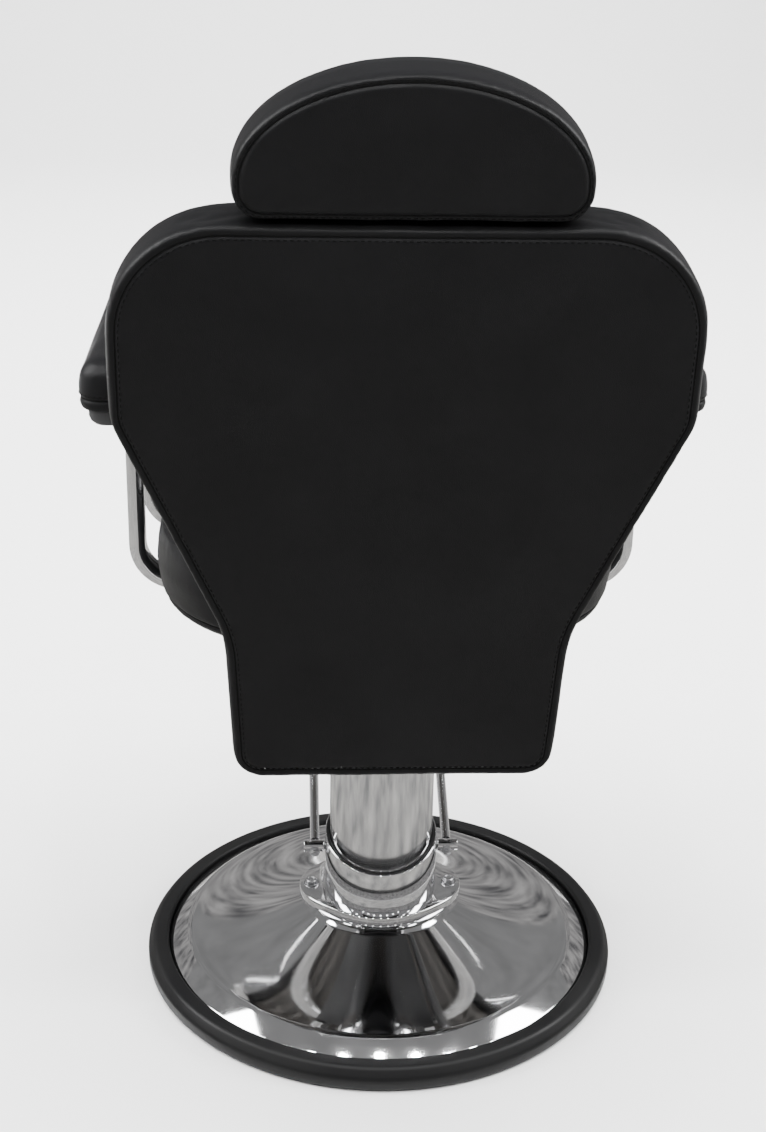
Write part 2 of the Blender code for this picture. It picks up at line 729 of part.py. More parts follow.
def build_gas_spring(seat):
    front_y, front_z = SPRING_FRONT
    yoke = add_object("release_head", box("release_head", (SPRING_X - 0.014, front_y - 0.022,
                      front_z - 0.014), (SPRING_X + 0.014, front_y + 0.012, RAIL_Z[0] + 0.018)),
                      black_paint(), seat, smooth=False)
    slot = box("head_slot", (SPRING_X - 0.0075, front_y - 0.0085, front_z - 0.03),
               (SPRING_X + 0.0075, front_y + 0.05, front_z + 0.0085))
    cutter("head_slot", slot, yoke)

    swing = pivot("gas_spring_swing", (SPRING_X, *SPRING_FRONT))
    rear = (Vector(SPRING_REAR) - Vector(SPRING_FRONT)).length
    rod_mesh = turned_along("gas_spring_rod", spring_point(-0.006), spring_point(0.230),
                            [(0.0055, 0.0), (0.0060, 0.06), (0.0040, 0.061), (0.0040, 1.0)], 12)
    add_object("gas_spring_rod", rod_mesh, chrome(), swing)
    body = turned_along("gas_spring_cylinder", spring_point(0.075), spring_point(rear - 0.012),
                        [(0.0080, 0.0), (0.0105, 0.02), (0.0105, 0.93), (0.0070, 0.96), (0.0070, 1.0)],
                        20)
    body = add_object("gas_spring_cylinder", body, black_paint(), swing)
    hollow = rod("spring_bore", spring_point(0.060), spring_point(0.275), 0.0045, 12)
    cutter("spring_bore", hollow, body)


def build_lever(seat):
    """The recline lever turns on a bolt in the release head."""
    pivot_at = Vector((SPRING_X - 0.0143, SPRING_FRONT[0] - 0.012, RAIL_Z[0] - 0.004))
    frame = pivot("lever_pivot", pivot_at)
    path = [pivot_at + Vector(step) for step in
            ((-0.0006, 0, 0), (-0.030, 0, 0), (-0.050, -0.002, -0.003), (-0.070, -0.010, -0.010),
             (-0.086, -0.024, -0.018), (-0.094, -0.042, -0.024), (-0.096, -0.060, -0.028),
             (-0.096, -0.128, -0.030))]
    add_object("recline_lever", bent_bar("recline_lever", path, 0.0050, 10), chrome(), frame)
    near, far = path[-2] + Vector((0, -0.012, 0)), path[-1] + Vector((0, -0.012, 0))
    grip = turned_along("lever_grip", near, far, [(0.0090, 0.0), (0.0110, 0.1), (0.0100, 0.8),
                        (0.0080, 0.97), (0.0040, 1.0)], 16)
    grip = add_object("lever_grip", grip, plastic(), frame)
    socket = rod("grip_bore", near + Vector((0, 0.01, 0)), path[-1] + Vector((0, -0.003, 0)), 0.0053, 12)
    cutter("grip_bore", socket, grip)


# ---------------------------------------------------------------- backrest

def back_outline(shrink=0.0):
    """The shield outline: narrow foot, flared flanks, broad round shoulders."""
    corners = [(-BACK_WAIST, 0.0, 0.030), (BACK_WAIST, 0.0, 0.030), (0.185, 0.185, 0.160),
               (BACK_HALF_W + 0.002, 0.440, 0.060), (BACK_HALF_W, BACK_H, BACK_SHOULDER_R),
               (-BACK_HALF_W, BACK_H, BACK_SHOULDER_R), (-BACK_HALF_W - 0.002, 0.440, 0.060),
               (-0.185, 0.185, 0.160)]
    return inset(fillet(corners, 6), shrink)


def back_depth(up):
    """Cushion depth in front of the rear face: thin at the foot, full above."""
    rise = min(1.0, max(0.0, (up - 0.150) / 0.080))
    rise = rise * rise * (3 - 2 * rise)
    crown = 0.012 * math.sin(math.pi * min(1.0, max(0.0, (up - 0.15) / 0.5)))
    return 0.044 + rise * 0.036 + crown


def back_sections(rear):
    """Level sections of the cushion, one for each point up its right-hand side."""
    edge = 0.030
    sections = []
    for x, z in [point for point in back_outline() if point[0] > 0]:
        near_edge = min(1.0, max(0.0, min(z, BACK_H - z) / edge))
        depth = back_depth(z) - edge * (1 - math.sqrt(1 - (1 - near_edge) ** 2)) * 0.4
        half = [(x - 0.002, rear), (x, rear + 0.008), (x, depth * 0.55), (x - 0.003, depth * 0.75),
                (x - 0.012, depth * 0.92), (x - 0.034, depth)]
        sections.append([(px, -d, z) for px, d in half] + [(-px, -d, z) for px, d in reversed(half)])
    return sections


def build_back():
    hinge = pivot("back_recline", (0.0, HINGE_Y, HINGE_Z))
    frame = pivot("back_frame", (0.0, BACK_Y, BACK_Z), hinge, -BACK_LEAN)

    panel_t = 0.010
    panel = [[(x, depth, z) for x, z in back_outline(shrink)]
             for shrink, depth in ((0.016, -panel_t), (0.012, -panel_t + 0.004), (0.014, -0.001),
                                   (0.022, 0.0))]
    add_object("back_rear_panel", loft("back_rear_panel", panel), vinyl(), frame, local=True)

    board_front = -panel_t - GAP - BOARD_T
    board = [[(x, depth, z) for x, z in back_outline(0.026)]
             for depth in (board_front, -panel_t - GAP)]
    add_object("back_board", loft("back_board", board), plywood(), frame, local=True, smooth=False)

    cushion = loft("back_cushion", back_sections(panel_t + GAP))
    cushion = add_object("back_cushion", cushion, vinyl(), frame, local=True)
    recess = [[(x, depth, z) for x, z in back_outline(0.0257)] for depth in (board_front - GAP, 0.01)]
    cutter("back_board_recess", loft("back_board_recess", recess), cushion)

    for side, x in (("left", POST_X), ("right", -POST_X)):
        channel = rod("post_channel_" + side, (x, -POST_DEPTH, BACK_H - 0.150),
                      (x, -POST_DEPTH, BACK_H + 0.02), 0.0085, 16)
        cutter("post_channel_" + side, channel, cushion)
        name = "headrest_guide_" + side
        tube = rod(name, (x, -POST_DEPTH, BACK_H - 0.148), (x, -POST_DEPTH, BACK_H - 0.006),
                   0.0082, 16, POST_R + 0.0005)
        add_object(name, tube, plastic(), frame, local=True)
    build_back_brackets(hinge)
    return frame


def build_back_brackets(hinge):
    """Plates outside the hinge plates that carry the backrest and its lug."""
    def front_face(up):
        depth = back_depth(up) + 0.0008
        return (BACK_Y + up * math.sin(BACK_LEAN) - depth * math.cos(BACK_LEAN),
                BACK_Z + up * math.cos(BACK_LEAN) + depth * math.sin(BACK_LEAN))
    for side, sign in (("left", 1), ("right", -1)):
        name = "back_bracket_" + side
        low, high = front_face(0.030), front_face(0.128)
        lug_y, lug_z = SPRING_REAR
        corners = [(lug_y - 0.010, lug_z - 0.008, 0.007), (lug_y + 0.009, lug_z - 0.009, 0.006),
                   (*low, 0.002), (*high, 0.003), (high[0] - 0.012, high[1], 0.003),
                   (HINGE_Y - 0.0155, HINGE_Z + 0.010, 0.010),
                   (HINGE_Y - 0.0155, HINGE_Z - 0.010, 0.010)]
        near, far = sorted((sign * 0.1215, sign * 0.1265))
        wall = add_object(name, plate(name, fillet(corners, 3), "X", near, far), black_paint(), hinge)
        hole = rod("bracket_hole_" + side, (sign * 0.11, HINGE_Y, HINGE_Z),
                   (sign * 0.14, HINGE_Y, HINGE_Z), 0.0060, 16)
        cutter("bracket_hole_" + side, hole, wall)


def build_headrest(back_frame):
    frame = pivot("headrest_slide", (0, 0, 0))
    frame.parent = back_frame
    base = HEADREST_Z

    def outline(shrink):
        widest = base + HEADREST_WIDEST
        points = fillet([(-HEADREST_HALF_W, base, HEADREST_CORNER_R),
                         (HEADREST_HALF_W, base, HEADREST_CORNER_R),
                         (HEADREST_HALF_W, widest, 0.0), (-HEADREST_HALF_W, widest, 0.0)], 5)
        points = points[:-1]
        steps = 18
        for i in range(1, steps + 1):
            angle = math.pi * i / steps
            points.append((HEADREST_HALF_W * math.cos(angle),
                           widest + (HEADREST_H - HEADREST_WIDEST) * math.sin(angle)))
        return inset(points, shrink)

    stack = [(0.020, 0.0), (0.006, -0.003), (0.0, -0.010), (-0.002, -0.045), (0.002, -0.072),
             (0.014, -0.086), (0.034, -0.090)]
    rings = [[(x, y, z) for x, z in outline(shrink)] for shrink, y in stack]
    cushion = add_object("headrest_cushion", loft("headrest_cushion", rings), vinyl(), frame, local=True)
    recess = box("board_recess", (-0.1103, -POST_DEPTH - 0.0078, base - 0.02),
                 (0.1103, -POST_DEPTH + 0.0078, base + 0.0803))
    cutter("board_recess", recess, cushion)
    board = add_object("headrest_board", box("headrest_board", (-0.110, -POST_DEPTH - 0.0075, base + 0.004),
                       (0.110, -POST_DEPTH + 0.0075, base + 0.080)), plywood(), frame, local=True,
                       smooth=False)
    for side, x in (("left", POST_X), ("right", -POST_X)):
        hole = rod("post_hole_" + side, (x, -POST_DEPTH, base - 0.01), (x, -POST_DEPTH, base + 0.0603),
                   POST_R + GAP, 16)
        cutter("post_hole_" + side, hole, board)
        name = "headrest_post_" + side
        post = rod(name, (x, -POST_DEPTH, BACK_H - 0.140), (x, -POST_DEPTH, base + 0.060), POST_R, 16)
        add_object(name, post, chrome(), frame, local=True)


def main():
    clear_scene()
    build_base()
    build_flange()
    build_pump()
    build_pedal()
    build_plunger()
    build_lift()
    seat = build_seat()
    build_gas_spring(seat)
    build_lever(seat)
    back_frame = build_back()
    build_headrest(back_frame)


main()
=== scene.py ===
"""Looks for the reclining styling chair: upholstery, chrome, rubber and light.

Metres, +Z up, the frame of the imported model.  The sitter faces -Y.
"""

import json
import math

import bmesh
import bpy
import numpy as np
from mathutils import Matrix, Vector, noise
from mathutils.bvhtree import BVHTree
from mathutils.kdtree import KDTree


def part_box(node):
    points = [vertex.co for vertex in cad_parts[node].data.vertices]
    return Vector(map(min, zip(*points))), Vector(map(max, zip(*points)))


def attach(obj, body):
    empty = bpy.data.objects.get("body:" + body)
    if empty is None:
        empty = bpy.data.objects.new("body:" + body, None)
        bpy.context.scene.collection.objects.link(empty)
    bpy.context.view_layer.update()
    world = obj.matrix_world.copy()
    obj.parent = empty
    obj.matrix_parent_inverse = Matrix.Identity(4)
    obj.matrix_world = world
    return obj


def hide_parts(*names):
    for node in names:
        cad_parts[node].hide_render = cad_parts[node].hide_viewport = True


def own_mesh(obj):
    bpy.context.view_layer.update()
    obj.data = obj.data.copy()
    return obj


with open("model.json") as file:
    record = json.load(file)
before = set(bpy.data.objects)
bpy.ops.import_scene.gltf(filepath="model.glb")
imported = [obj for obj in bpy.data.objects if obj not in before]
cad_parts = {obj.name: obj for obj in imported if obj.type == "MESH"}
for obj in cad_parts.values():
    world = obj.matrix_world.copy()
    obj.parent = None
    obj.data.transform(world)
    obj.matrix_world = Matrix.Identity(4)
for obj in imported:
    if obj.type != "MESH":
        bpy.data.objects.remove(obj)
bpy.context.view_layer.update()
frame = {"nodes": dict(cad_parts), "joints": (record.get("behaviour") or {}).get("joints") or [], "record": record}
NODES = frame["nodes"]
JOINTS = {joint["name"]: joint for joint in frame["joints"]}
SIDES = (("left", 1), ("right", -1))
TURN = 2 * math.pi

# the leaning frame of the backrest: X across, Y to the rear, Z up the back
BACK_AXIS = Vector(JOINTS["headrest_slide"]["axis"])
BACK_LEAN = math.atan2(BACK_AXIS.y, BACK_AXIS.z)
BACK_Y = 0.215
BACK_Z = 0.370
BACK_H = 0.647
BACK_HALF_W = 0.292
BACK_SHOULDER_R = 0.114
BACK_WAIST = 0.1775
HEADREST_Z = 0.650
HEADREST_HALF_W = 0.172
HEADREST_H = 0.143
HEADREST_WIDEST = 0.038
HEADREST_CORNER_R = 0.032
POST_X = 0.060
POST_DEPTH = 0.045
TO_BACK = Matrix.Translation((0, BACK_Y, BACK_Z)) @ Matrix.Rotation(-BACK_LEAN, 4, "X")

SEAT_HALF_W = 0.267
SEAT_REAR_Y = 0.147
SEAT_FRONT_Y = -0.365
SEAT_BOTTOM_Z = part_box("seat_board")[0].z
SEAT_TOP_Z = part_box("seat_cushion")[1].z
BOARD_TOP_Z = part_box("seat_board")[1].z

STITCH_PITCH = 0.0066
STITCH_SHARE = 0.68          # of the pitch that shows as thread
THREAD_R = 0.00055
SEAM_SINK = 0.0002
HELD_WIDTH = 0.006           # of cover held down beside a seam while it swells
PUCKER_WIDTH = 0.016
RAY_HEIGHT = 0.08            # rays start this far off a panel
RAY_OUT = 0.03               # or this far outside a wall

SHAFT_Z = JOINTS["pedal_press"]["pos_m"][2]
ROD_X = 0.0845
ROD_R = 0.0060
ROD_SLOPE = math.radians(20)
PEDAL_REACH = 0.315
ARM_TUBE_X = 0.305
ARM_TUBE_T = 0.020
ARM_TUBE_W = 0.040
ARM_TUBE_Z = (0.4805, 0.7300)
ARM_LEG_Y = (-0.100, -0.300)
BEND_STEPS = 14              # rings in each bend of a tube or rod


# ---------------------------------------------------------------- materials

def node_material(name):
    """A material with its Principled shader, and a short way to add nodes."""
    made = bpy.data.materials.new(name)
    made.use_nodes = True
    tree = made.node_tree
    shader = tree.nodes["Principled BSDF"]

    def add(kind, **values):
        node = tree.nodes.new(kind)
        for key, value in values.items():
            if hasattr(node, key):
                setattr(node, key, value)
            else:
                node.inputs[key.replace("_", " ")].default_value = value
        return node

    return made, tree.links, shader, add


def set_shader(shader, **values):
    for key, value in values.items():
        shader.inputs[key.replace("_", " ")].default_value = value


def spread(links, add, source, low, high, from_low=0.3, from_high=0.7):
    """Map a 0..1 field on to low..high."""
    ramp = add("ShaderNodeMapRange", From_Min=from_low, From_Max=from_high, To_Min=low, To_Max=high)
    links.new(source, ramp.inputs["Value"])
    return ramp.outputs["Result"]


def add_bump(links, add, height, strength, distance, below=None):
    bump = add("ShaderNodeBump", Strength=strength, Distance=distance)
    links.new(height, bump.inputs["Height"])
    if below is not None:
        links.new(below, bump.inputs["Normal"])
    return bump.outputs["Normal"]


def object_space(add):
    return add("ShaderNodeTexCoord").outputs["Object"]


def stretched_space(links, add, scale):
    mapping = add("ShaderNodeMapping", Scale=scale)
    links.new(object_space(add), mapping.inputs["Vector"])
    return mapping.outputs["Vector"]


def noise_field(links, add, place, scale, detail=2.0):
    field = add("ShaderNodeTexNoise", Scale=scale, Detail=detail)
    links.new(place, field.inputs["Vector"])
    return field.outputs["Fac"]


def mix_tones(links, add, field, dark, light):
    tone = add("ShaderNodeMix", data_type="RGBA")
    tone.inputs[6].default_value = (*dark, 1)
    tone.inputs[7].default_value = (*light, 1)
    links.new(field, tone.inputs[0])
    return tone.outputs[2]


def grained(name, fields, bump, rough, tones, stretch=None, **values):
    """A finish made from noise fields, each (scale, detail).

    Bump is (field, strength, distance), rough (field, low, high) and tones
    (field, dark, light), where field is a place in the list of fields.
    """
    made, links, shader, add = node_material(name)
    place = stretched_space(links, add, stretch) if stretch else object_space(add)
    noises = [noise_field(links, add, place, *field) for field in fields]
    normal = add_bump(links, add, noises[bump[0]], *bump[1:])
    links.new(normal, shader.inputs["Normal"])
    if rough:
        field = spread(links, add, noises[rough[0]], *rough[1:])
        links.new(field, shader.inputs["Roughness"])
    tone = mix_tones(links, add, noises[tones[0]], *tones[1:])
    links.new(tone, shader.inputs["Base Color"])
    set_shader(shader, **values)
    return made


def vinyl_material():
    """Soft black upholstery vinyl: fine pebbled grain over faint mottling."""
    made, links, shader, add = node_material("vinyl_black")
    place = object_space(add)
    cells = add("ShaderNodeTexVoronoi", feature="DISTANCE_TO_EDGE", Scale=620)
    links.new(place, cells.inputs["Vector"])
    fine = noise_field(links, add, place, 1500, 3)
    broad = noise_field(links, add, place, 14, 5)
    pebble = spread(links, add, cells.outputs["Distance"], 0.0, 1.0, 0.0, 0.22)
    normal = add_bump(links, add, pebble, 0.22, 0.00035)
    normal = add_bump(links, add, fine, 0.10, 0.00015, normal)
    links.new(normal, shader.inputs["Normal"])
    links.new(spread(links, add, broad, 0.38, 0.50), shader.inputs["Roughness"])
    tone = mix_tones(links, add, broad, (0.0022, 0.0022, 0.0026), (0.0048, 0.0048, 0.0053))
    links.new(tone, shader.inputs["Base Color"])
    set_shader(shader, Specular_IOR_Level=0.19)
    return made


def plywood_material():
    """Plywood stained black, with its figure just showing."""
    made, links, shader, add = node_material("plywood")
    rings = add("ShaderNodeTexWave", wave_type="BANDS", bands_direction="X",
                Scale=9, Distortion=7, Detail=4)
    links.new(object_space(add), rings.inputs["Vector"])
    figure = rings.outputs["Fac"]
    tone = mix_tones(links, add, figure, (0.014, 0.012, 0.010), (0.038, 0.034, 0.030))
    links.new(tone, shader.inputs["Base Color"])
    links.new(spread(links, add, figure, 0.6, 0.8), shader.inputs["Roughness"])
    links.new(add_bump(links, add, figure, 0.2, 0.0004), shader.inputs["Normal"])
    return made


VINYL = vinyl_material()
THREAD = grained("thread_black", [(2600,)], (0, 0.3, 0.0002), None,
                 (0, (0.0015, 0.0015, 0.0015), (0.0045, 0.0045, 0.0045)),
                 Roughness=0.75, Specular_IOR_Level=0.1)
# bright plating with faint smudges and a barely uneven surface
CHROME = grained("chrome_plate", [(22, 6), (9,)], (1, 0.05, 0.002), (0, 0.035, 0.085),
                 (0, (0.78, 0.78, 0.79), (0.8268, 0.8268, 0.8374)), Metallic=1.0)
# fine turning lines round the Z axis
STEEL = grained("turned_steel", [(1.0, 4)], (0, 0.12, 0.0003), (0, 0.26, 0.42),
                (0, (0.36, 0.36, 0.37), (0.52, 0.52, 0.53)), (40, 40, 900), Metallic=1.0)
RUBBER = grained("rubber_black", [(900, 4), (11, 6)], (0, 0.18, 0.0003), (1, 0.36, 0.56),
                 (1, (0.004, 0.004, 0.0045), (0.009, 0.009, 0.009)), Specular_IOR_Level=0.2)
# semi-gloss stoving paint with a little orange peel
PAINT = grained("black_paint", [(420,), (30, 6)], (0, 0.12, 0.0004), (1, 0.28, 0.46),
                (1, (0.014, 0.014, 0.014), (0.026, 0.026, 0.027)))
PLASTIC = grained("moulded_plastic", [(1100,)], (0, 0.25, 0.0003), (0, 0.42, 0.58),
                  (0, (0.016, 0.016, 0.017), (0.026, 0.026, 0.027)))
PLYWOOD = plywood_material()
SLOT_FINISH = {"chrome": CHROME, "steel": STEEL, "black_paint": PAINT, "rubber": RUBBER,
               "vinyl": VINYL, "plywood": PLYWOOD, "plastic": PLASTIC}


# ---------------------------------------------------------------- mesh helpers

def shade(mesh, crease):
    mesh.shade_smooth()
    mesh.set_sharp_from_angle(angle=math.radians(crease))


def add_object(name, data):
    item = bpy.data.objects.new(name, data)
    bpy.context.scene.collection.objects.link(item)
    return item


def new_object(name, mesh, finish, crease=40):
    item = add_object(name, mesh)
    mesh.materials.clear()
    mesh.materials.append(finish)
    shade(mesh, crease)
    return item


def place_piece(item, body, slot, *nodes):
    """Ride on a body and stand for CAD nodes; slot is not used."""
    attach(item, body)
    if nodes:
        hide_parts(*nodes)
    return item


def angles(stop, steps):
    """Even angles from 0 to stop, both included."""
    return [stop * i / steps for i in range(steps + 1)]


def to_mesh(bm, name):
    mesh = bpy.data.meshes.new(name)
    bm.to_mesh(mesh)
    bm.free()
    return mesh


def skin(name, rings, closed=False):
    """Skin equal rings of points; an open stack gets a cap at each end."""
    bm = bmesh.new()
    rows = [[bm.verts.new(point) for point in ring] for ring in rings]
    count = len(rows[0])
    pairs = list(zip(rows, rows[1:]))
    if closed:
        pairs.append((rows[-1], rows[0]))
    for low, high in pairs:
        for i in range(count):
            j = (i + 1) % count
            bm.faces.new((low[i], low[j], high[j], high[i]))
    if not closed:
        bm.faces.new(rows[0])
        bm.faces.new(rows[-1])
    bmesh.ops.recalc_face_normals(bm, faces=bm.faces)
    return to_mesh(bm, name)


def circle(radius, z, sides, centre=(0.0, 0.0)):
    step = TURN / sides
    return [(centre[0] + radius * math.cos(i * step),
             centre[1] + radius * math.sin(i * step), z) for i in range(sides)]


def fillet(corners, steps=6):
    """Round the corners (x, y, radius) of a polygon; returns (x, y) points."""
    points = []
    count = len(corners)
    for i in range(count):
        here = Vector(corners[i][:2])
        radius = corners[i][2]
        if radius == 0:
            points.append(tuple(here))
            continue
        before = (Vector(corners[i - 1][:2]) - here).normalized()
        after = (Vector(corners[(i + 1) % count][:2]) - here).normalized()
        half = before.angle(after) / 2
        reach = radius / math.tan(half)
        middle = here + (before + after).normalized() * (radius / math.sin(half))
        first = here + before * reach - middle
        last = here + after * reach - middle
        sweep = first.angle_signed(last)
        for k in range(steps + 1):
            angle = -sweep * k / steps
            turned = Vector((first.x * math.cos(angle) - first.y * math.sin(angle),
                             first.x * math.sin(angle) + first.y * math.cos(angle)))
            points.append(tuple(middle + turned))
    return points


def inset(outline, amount):
    """Move a closed anticlockwise outline inwards by amount."""
    count = len(outline)
    moved = []
    for i in range(count):
        a, b, c = (Vector(outline[k % count]) for k in (i - 1, i, i + 1))
        first = (b - a).normalized()
        second = (c - b).normalized()
        normal = Vector((-(first.y + second.y), first.x + second.x))
        normal.normalize()
        stretch = max(0.5, normal.dot(Vector((-first.y, first.x))))
        moved.append(tuple(b + normal * (amount / stretch)))
    return moved


def even_path(points, pitch, closed=True):
    """Points at an even pitch along a polyline."""
    points = [Vector(p) for p in points]
    if closed:
        points.append(points[0])
    lengths = [0.0]
    for a, b in zip(points, points[1:]):
        lengths.append(lengths[-1] + (b - a).length)
    total = lengths[-1]
    count = max(2, round(total / pitch))
    even = []
    k = 0
    for i in range(count if closed else count + 1):
        want = total * i / count
        while k < len(points) - 2 and lengths[k + 1] < want:
            k += 1
        span = max(1e-9, lengths[k + 1] - lengths[k])
        even.append(points[k].lerp(points[k + 1], (want - lengths[k]) / span))
    return even


def stand(mesh, start, end):
    """Move a mesh from the Z axis on to the line from start towards end."""
    start, end = Vector(start), Vector(end)
    turn = (end - start).to_track_quat("Z", "Y").to_matrix().to_4x4()
    mesh.transform(Matrix.Translation(start) @ turn)


def turned(name, profile, finish, sides=96, start=None, end=None, closed=True):
    """Turn a (radius, height) line about Z, or about the line from start to end.

    A closed line makes a ring; an open one gets a flat cap at each end.
    """
    mesh = skin(name, [circle(r, z, sides) for r, z in profile], closed)
    if start is not None:
        stand(mesh, start, end)
    return new_object(name, mesh, finish, crease=50)


def bar_mesh(name, path, radius, sides=20, closed=False):
    """A round bar along a smooth path, with frames carried along it."""
    path = [Vector(p) for p in path]
    count = len(path)
    up = Vector((0, 0, 1))
    if abs((path[1] - path[0]).normalized().dot(up)) > 0.9:
        up = Vector((0, 1, 0))
    rings = []
    for i, point in enumerate(path):
        if closed:
            ahead = path[(i + 1) % count] - path[i - 1]
        else:
            ahead = path[min(i + 1, count - 1)] - path[max(i - 1, 0)]
        ahead.normalize()
        side = ahead.cross(up).normalized()
        up = side.cross(ahead).normalized()
        rings.append([point + radius * (math.cos(a) * side + math.sin(a) * up)
                      for a in (TURN * k / sides for k in range(sides))])
    return skin(name, rings, closed=closed)


def coords(mesh, kind="co"):
    """One row for each vertex: its place, or its normal."""
    flat = np.empty(len(mesh.vertices) * 3, np.float32)
    mesh.vertices.foreach_get(kind, flat)
    return flat.reshape(-1, 3).astype(float)


def set_coords(mesh, values):
    mesh.vertices.foreach_set("co", np.asarray(values, np.float32).ravel())
    mesh.update()


def bake(item):
    """Put the evaluated mesh in place of the mesh and its modifiers."""
    bpy.context.view_layer.update()
    graph = bpy.context.evaluated_depsgraph_get()
    mesh = bpy.data.meshes.new_from_object(item.evaluated_get(graph))
    item.modifiers.clear()
    item.data = mesh


def cut(item, tool_mesh):
    """Subtract a closed mesh from a piece, for good."""
    tool = add_object("tool", tool_mesh)
    modifier = item.modifiers.new("cut", "BOOLEAN")
    modifier.operation = "DIFFERENCE"
    modifier.object = tool
    bake(item)
    bpy.data.objects.remove(tool)
    shade(item.data, 40)


def box_mesh(low, high):
    bm = bmesh.new()
    bmesh.ops.create_cube(bm, size=1.0)
    low, high = Vector(low), Vector(high)
    for vert in bm.verts:
        vert.co = [(low[k] + high[k]) / 2 + vert.co[k] * (high[k] - low[k]) for k in range(3)]
    return to_mesh(bm, "box")


# ---------------------------------------------------------------- upholstery

def remesh(item, voxel, rounds):
    """An even skin of quads, with its edges rounded by smoothing."""
    modifier = item.modifiers.new("voxels", "REMESH")
    modifier.mode = "VOXEL"
    modifier.voxel_size = voxel
    modifier = item.modifiers.new("round", "SMOOTH")
    modifier.factor = 0.5
    modifier.iterations = rounds
    bake(item)


def nearest_seam(points, seams):
    """Distance from each point to the closest seam sample."""
    tree = KDTree(sum(len(seam) for seam in seams))
    k = 0
    for seam in seams:
        for sample in seam:
            tree.insert(sample, k)
            k += 1
    tree.balance()
    return np.array([tree.find(point)[2] for point in points])


def inflate(item, seams, pressure, cap, frames=16):
    """Swell the cover with air pressure, held down along its seams."""
    before = coords(item.data)
    distance = nearest_seam(before, seams)
    group = item.vertex_groups.new(name="sewn")
    for index in np.where(distance < HELD_WIDTH)[0]:
        group.add([int(index)], 1.0, "REPLACE")
    cloth = item.modifiers.new("Cloth", "CLOTH")
    settings = cloth.settings
    settings.quality = 5
    settings.mass = 0.4
    settings.tension_stiffness = 25
    settings.compression_stiffness = 25
    settings.shear_stiffness = 12
    settings.bending_stiffness = 0.6
    settings.use_pressure = True
    settings.uniform_pressure_force = pressure
    settings.vertex_group_mass = "sewn"
    settings.effector_weights.gravity = 0
    cloth.point_cache.frame_start = 1
    cloth.point_cache.frame_end = frames
    scene = bpy.context.scene
    for number in range(1, frames + 1):
        scene.frame_set(number)
    graph = bpy.context.evaluated_depsgraph_get()
    after = coords(item.evaluated_get(graph).data)
    item.modifiers.clear()
    item.vertex_groups.clear()
    scene.frame_set(1)
    move = after - before
    length = np.linalg.norm(move, axis=1, keepdims=True)
    move *= np.minimum(1.0, cap / np.maximum(length, 1e-9))
    set_coords(item.data, before + move)


def refine(item):
    """Halve every face once, smoothly."""
    modifier = item.modifiers.new("fine", "SUBSURF")
    modifier.levels = 1
    modifier.render_levels = 1
    bake(item)


def rays_in(outline, plane, level, facing, pitch=0.002):
    """Evenly spaced rays that meet the skin all round an outline.

    The outline lies in plane XZ or XY at a level of the third axis.  Facing 0
    looks inwards from outside it; 1 and -1 look back along the third axis.
    """
    def lift(u, v, w):
        return Vector((u, w, v)) if plane == "XZ" else Vector((u, v, w))
    points = even_path([(*point, 0.0) for point in outline], pitch)
    rays = []
    for i, point in enumerate(points):
        if facing:
            rays.append((lift(point.x, point.y, level + facing * RAY_HEIGHT), lift(0, 0, -facing)))
            continue
        ahead = (points[(i + 1) % len(points)] - points[i - 1]).normalized()
        start = lift(point.x + ahead.y * RAY_OUT, point.y - ahead.x * RAY_OUT, level)
        rays.append((start, lift(-ahead.y, ahead.x, 0)))
    return rays


def land(item, rays):
    """Pairs of (point, normal) where rays meet the skin."""
    tree = BVHTree.FromObject(item, bpy.context.evaluated_depsgraph_get())
    found = []
    for start, ahead in rays:
        spot, normal, _, _ = tree.ray_cast(start, ahead, 2 * RAY_HEIGHT)
        if spot is None:
            spot, normal, _, _ = tree.find_nearest(start + ahead * RAY_OUT)
        found.append((spot, normal))
    return found


def seam_points(item, rays):
    return [spot for spot, _ in land(item, rays)]


def refine_near(item, seams, reach=0.008):
    """Halve the faces beside the seams, so that they can hold a narrow groove."""
    bm = bmesh.new()
    bm.from_mesh(item.data)
    near = nearest_seam([vert.co for vert in bm.verts], seams) < reach
    edges = [edge for edge in bm.edges if near[edge.verts[0].index] and near[edge.verts[1].index]]
    bmesh.ops.subdivide_edges(bm, edges=edges, cuts=1, use_grid_fill=True, smooth=0.0)
    bm.to_mesh(item.data)
    bm.free()


def tailor(item, seams, depth=0.0022, width=0.0032, pucker=0.0005, crease=0.0006, seed=0.0):
    """Draw the skin in along its seams, with small puckers beside them and soft
    unevenness everywhere."""
    points = coords(item.data)
    outward = coords(item.data, "normal")
    distance = nearest_seam(points, seams)
    move = -depth * np.exp(-(distance / width) ** 2)
    shift = Vector((seed, seed * 1.7, -seed))
    waves = np.array([noise.noise(Vector(p) * 55 + shift) for p in points])
    slow = np.array([noise.noise(Vector(p) * 13 + shift) for p in points])
    move += pucker * waves * np.exp(-(distance / PUCKER_WIDTH) ** 2)
    move += crease * slow
    set_coords(item.data, points + outward * move[:, None])


